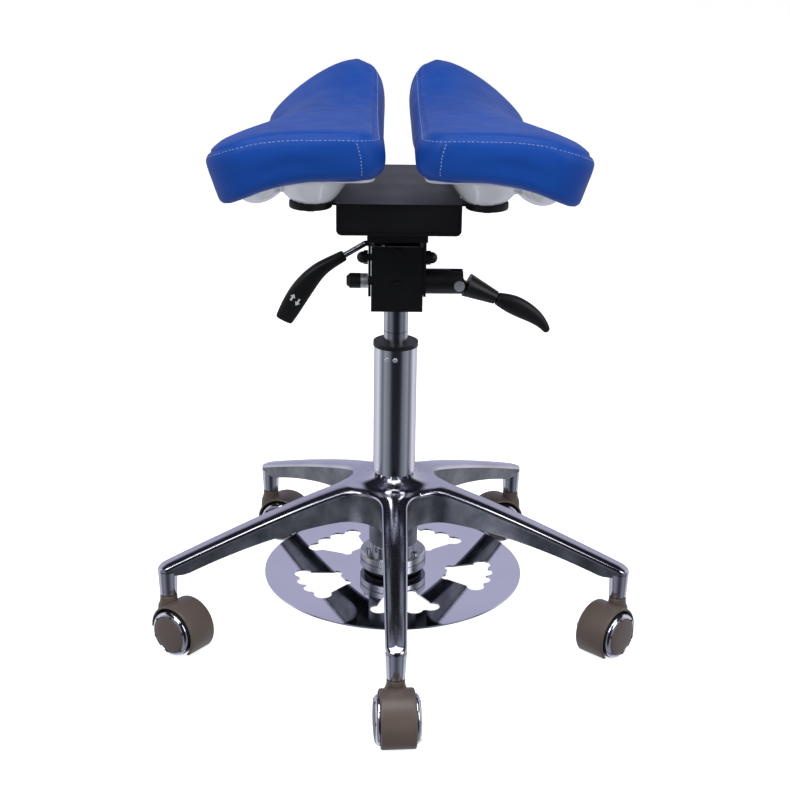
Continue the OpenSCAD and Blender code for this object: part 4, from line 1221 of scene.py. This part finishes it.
class STOOL_OT_stage(bpy.types.Operator):
    """Lays the pale floor and sets the studio light and the camera."""

    bl_idname = "stool.stage"
    bl_label = "Stage"

    def execute(self, context):
        bpy.ops.object.select_all(action="DESELECT")
        bpy.ops.mesh.primitive_plane_add(size=30, location=(0, 0, -0.0002))
        floor = bpy.context.object
        floor.name = "studio_floor"
        settle(floor)
        paper, tree, sheet, place = material("studio_paper")
        grain = cloudy(tree, place, 3.0)
        steer(tree, grain, sheet.inputs["Base Color"], (0.3, (0.86,)), (0.7, (0.88,)))
        sheet.inputs["Roughness"].default_value = 0.9
        sheet.inputs["Specular IOR Level"].default_value = 0.1
        # Lit from below as well, so that shadows on it stay faint
        sheet.inputs["Emission Color"].default_value = (1, 1, 1, 1)
        sheet.inputs["Emission Strength"].default_value = 0.84
        floor.data.materials.append(paper)
        # Bright metal mirrors the studio's walls and not the paper, whose glow stays on the paper
        floor.visible_glossy = False
        floor.visible_diffuse = False
        context.scene.view_settings.view_transform = "Standard"
        self.surroundings(context)
        area_light("key", (-1.6, -2.2, 2.6), (0, 0, 0.4), (1.6, 1.6), 38)
        area_light("fill", (2.0, -1.6, 1.6), (0, 0, 0.35), (1.2, 1.8), 18)
        low = area_light("low", (0.0, -1.6, 0.15), (0, 0, 0.56), (1.2, 0.5), 7)
        low.visible_glossy = False
        area_light("top", (0.0, -0.5, 3.0), (0, 0, 0.3), (2.2, 2.0), 42)
        self.camera(context)
        return {"FINISHED"}

    def surroundings(self, context):
        """A studio all round: bright behind the stool, grey beside it, dark above and behind the camera."""
        world = bpy.data.worlds.new("studio")
        context.scene.world = world
        world.use_nodes = True
        tree = world.node_tree
        back = tree.nodes["Background"]
        place = add(tree, "ShaderNodeTexCoord").outputs["Generated"]
        facing = add(tree, "ShaderNodeVectorMath", [(0, place)], operation="DOT_PRODUCT")
        facing.inputs[1].default_value = (-0.08, 0.997, 0)
        depth = add(tree, "ShaderNodeMapRange", [("Value", facing.outputs["Value"])])
        depth.inputs["From Min"].default_value = -1.0
        walls = ramp(tree, depth.outputs["Result"], [
            (0.0, linear("#1B1C20")), (0.06, linear("#303238")), (0.13, linear("#7C8089")),
            (0.28, linear("#A0A3AC")), (0.40, linear("#72757E")), (0.52, linear("#B4B4C2")),
            (0.64, linear("#F4F4F8")), (1.0, linear("#B9B8D2"))])
        height = add(tree, "ShaderNodeSeparateXYZ", [("Vector", place)]).outputs["Z"]
        lid = ramp(tree, height, [(0.46, (0.0,)), (0.58, (1.0,))])
        roof = ramp(tree, height, [
            (0.6, linear("#15171E")), (0.85, linear("#2E2F38")), (1.0, linear("#6C6D76"))])
        room = add(tree, "ShaderNodeMix", [("Factor", lid)], data_type="RGBA")
        tree.links.new(walls, room.inputs["A"])
        tree.links.new(roof, room.inputs["B"])
        # The backdrop itself is plain white
        seen = add(tree, "ShaderNodeLightPath").outputs["Is Camera Ray"]
        both = add(tree, "ShaderNodeMix", [("Factor", seen)], data_type="RGBA")
        tree.links.new(room.outputs["Result"], both.inputs["A"])
        both.inputs["B"].default_value = (1, 1, 1, 1)
        tree.links.new(both.outputs["Result"], back.inputs["Color"])

    def camera(self, context):
        """The camera in front, a little above the seat, looking down at the stool."""
        sizes = context.scene.stool_sizes
        lens = bpy.data.cameras.new("camera")
        lens.lens, lens.sensor_width = 70.95, 36
        eye = bpy.data.objects.new("camera", lens)
        context.scene.collection.objects.link(eye)
        turn = Matrix.Rotation(math.radians(-1), 3, "Z")
        down, roll = math.radians(19.87), 0.0132
        forward = turn @ Vector((0, math.cos(down), -math.sin(down)))
        right = turn @ Vector((1, 0, 0))
        up = right.cross(forward)
        across = math.cos(roll) * right + math.sin(roll) * up
        upright = -math.sin(roll) * right + math.cos(roll) * up
        spin = Matrix((across, upright, -forward)).transposed().to_4x4()
        place = turn @ Vector((0, -sizes.camera_distance, sizes.camera_height))
        eye.matrix_world = Matrix.Translation(place) @ spin
        context.scene.camera = eye


class STOOL_PT_panel(bpy.types.Panel):
    """The stool's pieces, sizes and colours."""

    bl_idname = "STOOL_PT_panel"
    bl_label = "Saddle Stool"
    bl_space_type = "VIEW_3D"
    bl_region_type = "UI"
    bl_category = "Stool"

    def draw(self, context):
        layout = self.layout
        for group in (context.scene.stool_colours, context.scene.stool_sizes):
            for name in type(group).__annotations__:
                layout.prop(group, name)
        for step in STEPS:
            layout.operator(step.bl_idname)


STEPS = (STOOL_OT_finishes, STOOL_OT_star, STOOL_OT_casters, STOOL_OT_column_marks, STOOL_OT_grips,
         STOOL_OT_shells, STOOL_OT_cushions, STOOL_OT_stage)
CLASSES = (StoolColours, StoolSizes, *STEPS, STOOL_PT_panel)


def register():
    for kind in CLASSES:
        bpy.utils.register_class(kind)
    bpy.types.Scene.stool_colours = bpy.props.PointerProperty(type=StoolColours)
    bpy.types.Scene.stool_sizes = bpy.props.PointerProperty(type=StoolSizes)


def unregister():
    del bpy.types.Scene.stool_sizes
    del bpy.types.Scene.stool_colours
    for kind in reversed(CLASSES):
        bpy.utils.unregister_class(kind)


def main():
    register()
    bpy.ops.stool.finishes()
    bpy.ops.stool.star()
    bpy.ops.stool.casters()
    bpy.ops.stool.column_marks()
    bpy.ops.stool.grips()
    bpy.ops.stool.shells()
    bpy.ops.stool.cushions()
    bpy.ops.stool.stage()


if __name__ == "__main__":
    main()
